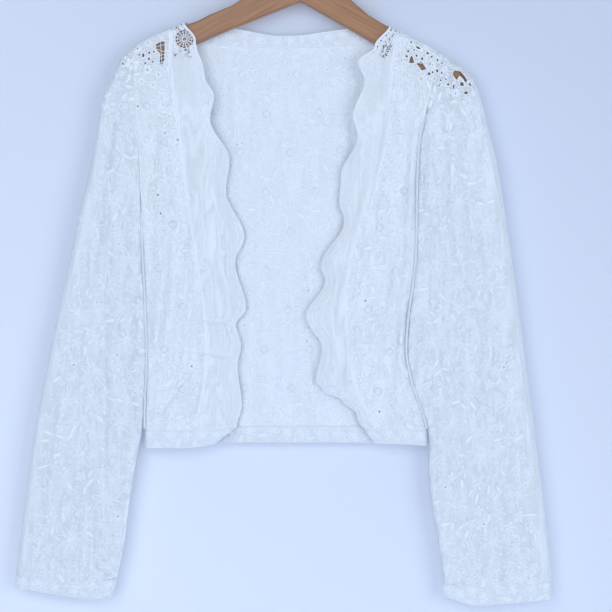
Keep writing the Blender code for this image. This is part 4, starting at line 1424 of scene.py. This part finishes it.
def rippled(depth_at, reach):
    """A band's depth with the small ripples of its gathers."""

    def depth(x, drop):
        ripple = 0.35 * np.sin(x / 3.7 + 1.4 * np.sin(x / 23)) + 0.25 * np.sin(x / 9.1 + 2)
        return depth_at(x, drop) + reach * ripple * np.clip((drop - SEAM_LEVEL - 2) / 8, 0, 1)

    return depth


def make_hems(band, thread):
    """The hem in three lengths: below each front, and across the back."""
    rows = (
        ("left", BODY_LEFT, SCALLOP_LEFT, HEM_SEAM_LEFT, HEM_END_LEFT, body_front, FRONT, waved),
        ("right", BODY_RIGHT, SCALLOP_RIGHT, HEM_SEAM_RIGHT, HEM_END_RIGHT, body_front, FRONT, waved),
        ("back", BODY_LEFT, BODY_RIGHT, HEM_SEAM_BACK, HEM_END_BACK, body_back, BACK, smooth),
    )
    for name, side, other, seam, end, depth_at, outward, read in rows:
        lines = []
        for line, level in ((seam, SEAM_LEVEL), (end, HEM_LEVEL)):
            start, finish = float(smooth(side, level)), float(read(other, level))
            lines.append(level_line(line, start, finish, 80))
        length = abs(lines[0][-1][0] - lines[0][0][0])
        make_band(
            f"hem_{name}", lines, "above", length, rippled(depth_at, 0.8), outward, band, thread,
        )


def make_neckband(band, thread):
    upper = level_line(NECK_TOP, NECK_TOP[0][0], NECK_TOP[-1][0], 120)
    lower = level_line(NECK_SEAM, NECK_SEAM[0][0], NECK_SEAM[-1][0], 120)
    lines = (upper, lower)
    make_band("neckband", lines, "below", 265, body_back, BACK, band, thread)


def lay_cuff(tube, seam, end):
    """Lays a grid round a tube, from the sleeve's seam to the free edge, and closes it."""
    bmesh.ops.create_grid(tube, x_segments=CUFF_SEGMENTS, y_segments=CUFF_ROWS - 1, size=1)
    for vert in tube.verts:
        vert.co = cuff_point(math.pi * vert.co.x, seam, end, (vert.co.y + 1) / 2)
    bmesh.ops.remove_doubles(tube, verts=tube.verts, dist=CUFF_JOIN * MM)
    bmesh.ops.recalc_face_normals(tube, faces=tube.faces)
    places = np.array([vert.co for vert in tube.verts]) / MM
    return list(tube.verts), places[:, 0], -places[:, 2]


def make_cuffs(band, thread):
    """Each cuff is one tube, puckered where it is sewn to the sleeve."""
    rows = (("left", CUFF_SEAM_LEFT, CUFF_END_LEFT), ("right", CUFF_SEAM_RIGHT, CUFF_END_RIGHT))
    for side, seam, end in rows:
        tube = new_cloth()
        laid = lay_cuff(tube, seam, end)
        lines = [level_line(table, table[0][0], table[-1][0], 60) for table in (seam, end)]
        lines[0] = lines[0] + (0, SEAM_GAP)
        motifs, inside = band_motifs(lines, SEEDS[f"cuff_{side}"])
        runs = motif_runs(motifs, inside) + band_edges(lines, "above")
        faces = [
            (face, runs, cuff_depth(seam, end, outward), outward)
            for face, outward in (("front", FRONT), ("back", BACK))
        ]
        band_piece(f"cuff_{side}", tube, laid, motifs, band, faces, thread)


def cuff_half(x, outward):
    """Half the flattened cuff's depth at its middle, with its puckers."""
    half = SLEEVE_DEPTH[-1][1] if outward == FRONT else SLEEVE_DEPTH[-1][2]
    return half - 0.5 + 0.5 * np.sin(x / 1.9) + 0.4 * np.sin(x / 4.3 + 1)


def cuff_depth(seam, end, outward):
    """A cuff's depth at (x, drop) on its front or back."""

    def depth(x, drop):
        first, last = (seam[0][0] + end[0][0]) / 2, (seam[-1][0] + end[-1][0]) / 2
        reach = np.clip(np.abs((x - (first + last) / 2) / ((last - first) / 2)), 0, 1)
        return outward * cuff_half(x, outward) * (1 - reach**3) ** (1 / 3)

    return depth


def cuff_point(angle, seam, end, share):
    """A point of the flattened ring, between the seam's level and the free edge's."""
    flatten = 2 / 3.0
    reach = math.copysign(abs(math.cos(angle)) ** flatten, math.cos(angle))
    depth = math.copysign(abs(math.sin(angle)) ** flatten, math.sin(angle))
    levels = []
    for table, gap in ((seam, SEAM_GAP), (end, 0)):
        first, last = table[0][0], table[-1][0]
        x = (first + last) / 2 + reach * (last - first) / 2
        levels.append((x, float(smooth(sorted(table), x)) + gap))
    x = levels[0][0] + (levels[1][0] - levels[0][0]) * share
    drop = levels[0][1] + (levels[1][1] - levels[0][1]) * share
    half = float(cuff_half(x, FRONT if depth < 0 else BACK))
    return (x * MM, depth * half * MM, -drop * MM)


# Materials


def new_material(name):
    material = bpy.data.materials.new(name)
    material.use_nodes = True
    tree = material.node_tree
    return material, tree, tree.nodes["Principled BSDF"]


def add_node(tree, kind, inputs=(), **settings):
    """A shader node with its settings, and its inputs linked or set by name or number."""
    made = tree.nodes.new(kind)
    for name, value in settings.items():
        setattr(made, name, value)
    for name, value in dict(inputs).items():
        if isinstance(value, bpy.types.NodeSocket):
            tree.links.new(value, made.inputs[name])
        else:
            made.inputs[name].default_value = value
    return made


def maths(tree, operation, first, second=0.0):
    return add_node(tree, "ShaderNodeMath", {0: first, 1: second}, operation=operation).outputs[0]


def object_place(tree):
    return add_node(tree, "ShaderNodeTexCoord").outputs["Object"]


def mixed(tree, share, first, second):
    made = add_node(tree, "ShaderNodeMix", {0: share}, data_type="RGBA")
    for socket, value in ((made.inputs[6], first), (made.inputs[7], second)):
        if isinstance(value, bpy.types.NodeSocket):
            tree.links.new(value, socket)
        else:
            socket.default_value = (*value, 1.0)
    return made.outputs[2]


def attribute(tree, name):
    return add_node(tree, "ShaderNodeAttribute", attribute_name=name).outputs["Fac"]


def ranged(tree, value, low, high, least=0.0, most=1.0):
    """A value from least to most, brought to the range from low to high."""
    inputs = {"Value": value, "From Min": least, "From Max": most, "To Min": low, "To Max": high}
    return add_node(tree, "ShaderNodeMapRange", inputs).outputs[0]


def threads(tree, place, cell, share, uneven=0.75):
    """1 on the threads of an uneven mesh of cells, 0 in its holes."""
    inputs = {"Vector": place, "Scale": 1 / cell, "Randomness": uneven}
    cells = add_node(tree, "ShaderNodeTexVoronoi", inputs, feature="DISTANCE_TO_EDGE")
    return maths(tree, "LESS_THAN", cells.outputs["Distance"], share)


def cloth_sheen(shader, roughness, sheen):
    shader.inputs["Roughness"].default_value = roughness
    shader.inputs["Sheen Weight"].default_value = sheen


def noise(tree, place, scale, detail=3.0):
    return add_node(
        tree, "ShaderNodeTexNoise", {"Vector": place, "Scale": scale, "Detail": detail}
    ).outputs["Fac"]


def bump(tree, shader, height, strength, distance):
    made = add_node(
        tree, "ShaderNodeBump", {"Height": height, "Strength": strength, "Distance": distance}
    )
    tree.links.new(made.outputs["Normal"], shader.inputs["Normal"])


# Laces: name, colour of motifs and of net, the net's cell in metres, its threads' share
LACES = {
    "back": ("close lace", (0.84, 0.87, 0.935), (0.81, 0.84, 0.915), 0.0013, 0.36),
    "front": ("front lace", (0.88, 0.905, 0.96), (0.86, 0.885, 0.945), 0.0010, 0.27),
    "edging": ("sheer edging net", (0.86, 0.885, 0.95), (0.85, 0.875, 0.94), 0.0010, 0.27),
    "sleeve": ("flowered lace", (0.86, 0.885, 0.95), (0.83, 0.86, 0.925), 0.0010, 0.24),
}
# Painted shade: the net is darkened in long streaks down its hang, standing in for the shade of its
# folds
STREAK_SHADE = (0.96, 0.955, 0.94)
# Painted shade and light of the cord's twist, in bands along it
CORD_SHADE, CORD_LIGHT = (0.85, 0.875, 0.93), (0.90, 0.92, 0.965)
BAND_CELL = 0.00125
# Painted shade in the holes of the doubled lace's net, where the layer behind lies in shade
BAND_HOLE_SHADE, BAND_NET = (0.66, 0.70, 0.78), (0.77, 0.80, 0.87)
BAND_MOTIF = (0.82, 0.85, 0.92)
STEEL_SHADE, STEEL_LIGHT = (0.66, 0.66, 0.67), (0.78, 0.78, 0.79)


def lace_material(name, dense_colour, net_colour, cell, thread_share):
    """White lace: dense cloth, a fine mesh of threads where it is net, painted with long streaks of
    shade down its hang, and open holes.
    """
    material, tree, shader = new_material(name)
    place = object_place(tree)
    dense = attribute(tree, "dense")
    sheer = maths(tree, "LESS_THAN", dense, (NET_GROUND + SHEER_GROUND) / 2)
    fine_thread = threads(tree, place, cell, thread_share)
    fine_thread = maths(tree, "MULTIPLY", fine_thread, maths(tree, "SUBTRACT", 1.0, sheer))
    sheer_thread = threads(tree, place, SHEER_CELL, SHEER_THREAD, 0.8)
    sheer_thread = maths(tree, "MULTIPLY", sheer_thread, sheer)
    thread = maths(tree, "MAXIMUM", fine_thread, sheer_thread)
    solid = maths(tree, "GREATER_THAN", dense, 0.0)
    cover = maths(tree, "MAXIMUM", thread, solid)
    whole = maths(tree, "LESS_THAN", attribute(tree, "open"), 0.0)
    tree.links.new(maths(tree, "MULTIPLY", cover, whole), shader.inputs["Alpha"])
    shade = noise(tree, place, 38.0, 2.0)
    cloth = mixed(tree, shade, [value * 0.97 for value in dense_colour], dense_colour)
    # The net's ground gets painted shade in long random streaks down the hang
    hanging = add_node(
        tree, "ShaderNodeVectorMath", {0: place, 1: (1.0, 1.0, 0.16)}, operation="MULTIPLY"
    ).outputs[0]
    streak = ranged(tree, noise(tree, hanging, 95.0, 2.0), 0.0, 1.0, 0.38, 0.62)
    shaded = [value * share for value, share in zip(net_colour, STREAK_SHADE)]
    ground = mixed(tree, streak, shaded, net_colour)
    colour = mixed(tree, solid, ground, cloth)
    tree.links.new(colour, shader.inputs["Base Color"])
    cloth_sheen(shader, 0.85, 0.15)
    weave = add_node(
        tree, "ShaderNodeTexVoronoi", {"Vector": place, "Scale": 1500.0}, feature="F1"
    ).outputs["Distance"]
    raised = maths(tree, "MULTIPLY", solid, 2.0)
    height = maths(tree, "ADD", raised, maths(tree, "MULTIPLY", weave, 0.6))
    bump(tree, shader, height, 0.5, 0.0003)
    return material


def thread_material():
    """Twisted cotton cord, with the light and shade of its twist painted in bands."""
    material, tree, shader = new_material("cotton cord")
    place = object_place(tree)
    twist = add_node(
        tree, "ShaderNodeTexWave", {"Vector": place, "Scale": 420.0, "Distortion": 1.5},
        wave_type="BANDS", bands_direction="DIAGONAL",
    ).outputs["Fac"]
    colour = mixed(tree, twist, CORD_SHADE, CORD_LIGHT)
    tree.links.new(colour, shader.inputs["Base Color"])
    cloth_sheen(shader, 0.7, 0.2)
    bump(tree, shader, twist, 0.35, 0.0002)
    return material


def band_material():
    """Doubled lace of the neckband, hems and cuffs: the motifs stand up from closed net, whose holes
    are painted with shade.
    """
    material, tree, shader = new_material("doubled lace")
    solid = maths(tree, "GREATER_THAN", attribute(tree, "dense"), 0.0)
    thread = threads(tree, object_place(tree), BAND_CELL, 0.2)
    # The net's holes are painted with shade
    ground = mixed(tree, thread, BAND_HOLE_SHADE, BAND_NET)
    tree.links.new(mixed(tree, solid, ground, BAND_MOTIF), shader.inputs["Base Color"])
    cloth_sheen(shader, 0.85, 0.15)
    height = maths(tree, "ADD", maths(tree, "MULTIPLY", solid, 2.0), thread)
    bump(tree, shader, height, 0.5, 0.0003)
    return material


WOOD_DARK = (0.24, 0.095, 0.035)
WOOD_LIGHT = (0.46, 0.215, 0.09)
WOOD_STREAK = (0.33, 0.14, 0.055)


def wood_material():
    """Satin varnished wood, with its grain along each arm of the hanger."""
    material, tree, shader = new_material("varnished wood")
    parts = add_node(tree, "ShaderNodeSeparateXYZ", {0: object_place(tree)})
    arm = maths(tree, "ABSOLUTE", parts.outputs["X"])
    across = maths(tree, "ADD", parts.outputs["Z"], maths(tree, "MULTIPLY", arm, 0.55))
    grain_place = add_node(
        tree, "ShaderNodeCombineXYZ",
        {0: maths(tree, "MULTIPLY", arm, 0.07), 1: parts.outputs["Y"], 2: across},
    ).outputs[0]
    grain = noise(tree, grain_place, 260.0, 6.0)
    streak = noise(tree, grain_place, 60.0, 3.0)
    ramp = add_node(tree, "ShaderNodeValToRGB", {0: grain})
    for stop, position, shade in zip(ramp.color_ramp.elements, (0.32, 0.68), (WOOD_DARK, WOOD_LIGHT)):
        stop.position = position
        stop.color = (*shade, 1)
    colour = mixed(tree, streak, WOOD_STREAK, ramp.outputs["Color"])
    tree.links.new(colour, shader.inputs["Base Color"])
    tree.links.new(ranged(tree, grain, 0.34, 0.48), shader.inputs["Roughness"])
    shader.inputs["Coat Weight"].default_value = 0.25
    shader.inputs["Coat Roughness"].default_value = 0.2
    bump(tree, shader, grain, 0.25, 0.0003)
    return material


def steel_material():
    """Bright drawn steel wire with fine lengthwise scratches."""
    material, tree, shader = new_material("bright steel wire")
    place = object_place(tree)
    scratch = noise(tree, place, 1400.0, 4.0)
    smudge = noise(tree, place, 90.0, 2.0)
    colour = mixed(tree, smudge, STEEL_SHADE, STEEL_LIGHT)
    tree.links.new(colour, shader.inputs["Base Color"])
    tree.links.new(ranged(tree, scratch, 0.18, 0.34), shader.inputs["Roughness"])
    shader.inputs["Metallic"].default_value = 1.0
    bump(tree, shader, scratch, 0.1, 0.0001)
    return material


def finish_hanger():
    """Gives the hanger's two solids their wood and steel."""
    for node, material in (("hanger_wood", wood_material()), ("hanger_hook", steel_material())):
        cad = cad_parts[node]
        for slot in cad.material_slots:
            slot.material = material


# Stage


DAYLIGHT = (0.80, 0.90, 1.0)
WALL_BEHIND = 0.024
FLOOR_DROP = 1.35
WALL_SHADED = (0.64, 0.67, 0.785)
WALL_LIT = (0.815, 0.845, 0.945)
WALL_SLOPE = (0.08, -0.63, -0.91)
FLOOR_COLOUR = (0.76, 0.785, 0.88)
STAGE_SIZE = 7
AIM = (0, 0, -0.47)

# Softboxes: name, place, size, power
SOFTBOXES = (
    ("key light", (1.9, -2.6, -0.45), 1.8, 25),
    ("front fill", (-0.9, -2.9, -0.15), 2.4, 43),
    ("back fill", (1.9, 1.7, 0.3), 1.2, 34),
)
ROOM_LIGHT = 0.395


def stage_plane(name, place, turn):
    """A pale plane of the stage, and its shader."""
    sheet = bmesh.new()
    bmesh.ops.create_grid(sheet, x_segments=1, y_segments=1, size=STAGE_SIZE / 2)
    mesh = mesh_from(name, sheet)
    plane = add_object(name, mesh)
    plane.location = place
    plane.rotation_euler = turn
    material, tree, shader = new_material(name)
    shader.inputs["Roughness"].default_value = 0.9
    mesh.materials.append(material)
    return tree, shader


def make_wall():
    """A wall, lighter to the lower left, that is clear from behind and to shadow rays."""
    tree, shader = stage_plane("wall", (0, WALL_BEHIND, 0), (math.pi / 2, 0, 0))
    parts = add_node(tree, "ShaderNodeSeparateXYZ", {0: object_place(tree)})
    level, rightwards, upwards = WALL_SLOPE
    share = maths(tree, "MULTIPLY", parts.outputs["X"], rightwards)
    share = maths(tree, "ADD", share, maths(tree, "MULTIPLY", parts.outputs["Y"], upwards))
    share = maths(tree, "ADD", share, level)
    tree.links.new(mixed(tree, share, WALL_SHADED, WALL_LIT), shader.inputs["Base Color"])
    behind = add_node(tree, "ShaderNodeNewGeometry").outputs["Backfacing"]
    shadow = add_node(tree, "ShaderNodeLightPath").outputs["Is Shadow Ray"]
    clear = maths(tree, "MAXIMUM", behind, shadow)
    tree.links.new(maths(tree, "SUBTRACT", 1.0, clear), shader.inputs["Alpha"])


def add_softbox(name, place, size, power):
    light = bpy.data.lights.new(name, "AREA")
    light.shape = "SQUARE"
    light.size = size
    light.energy = power
    light.color = DAYLIGHT
    lamp = add_object(name, light)
    lamp.location = place
    away = [place[i] - AIM[i] for i in range(3)]
    flat = math.hypot(away[0], away[1])
    lamp.rotation_euler = (math.atan2(flat, away[2]), 0, math.atan2(away[0], -away[1]))


def make_stage():
    make_wall()
    _, floor = stage_plane("floor", (0, 0, -FLOOR_DROP), (0, 0, 0))
    floor.inputs["Base Color"].default_value = (*FLOOR_COLOUR, 1)
    for softbox in SOFTBOXES:
        add_softbox(*softbox)
    world = bpy.data.worlds.new("pale room")
    world.use_nodes = True
    background = world.node_tree.nodes["Background"]
    background.inputs["Color"].default_value = (*DAYLIGHT, 1)
    background.inputs["Strength"].default_value = ROOM_LIGHT
    bpy.context.scene.world = world
    bpy.context.scene.view_settings.view_transform = "Standard"


def make_camera():
    """Looks at the garment's front from straight ahead."""
    data = bpy.data.cameras.new("camera")
    data.sensor_width = SENSOR
    data.lens = SENSOR * (CAMERA_AWAY - FRONT_FACE) / VIEW_WIDTH
    camera = add_object("camera", data)
    camera.location = (VIEW_CENTRE[0], -CAMERA_AWAY, VIEW_CENTRE[1])
    camera.rotation_euler = (math.pi / 2, 0, 0)
    bpy.context.scene.camera = camera


def main():
    make_camera()
    laces = {panel: lace_material(*row) for panel, row in LACES.items()}
    thread = thread_material()
    band = band_material()
    make_back(laces["back"], thread)
    make_neckband(band, thread)
    for side in SIDES:
        make_front(side, laces["front"], band, thread)
        make_edging(side, laces["edging"], thread)
        make_sleeve(side, laces["sleeve"], thread)
    make_hems(band, thread)
    make_cuffs(band, thread)
    finish_hanger()
    make_stage()


main()
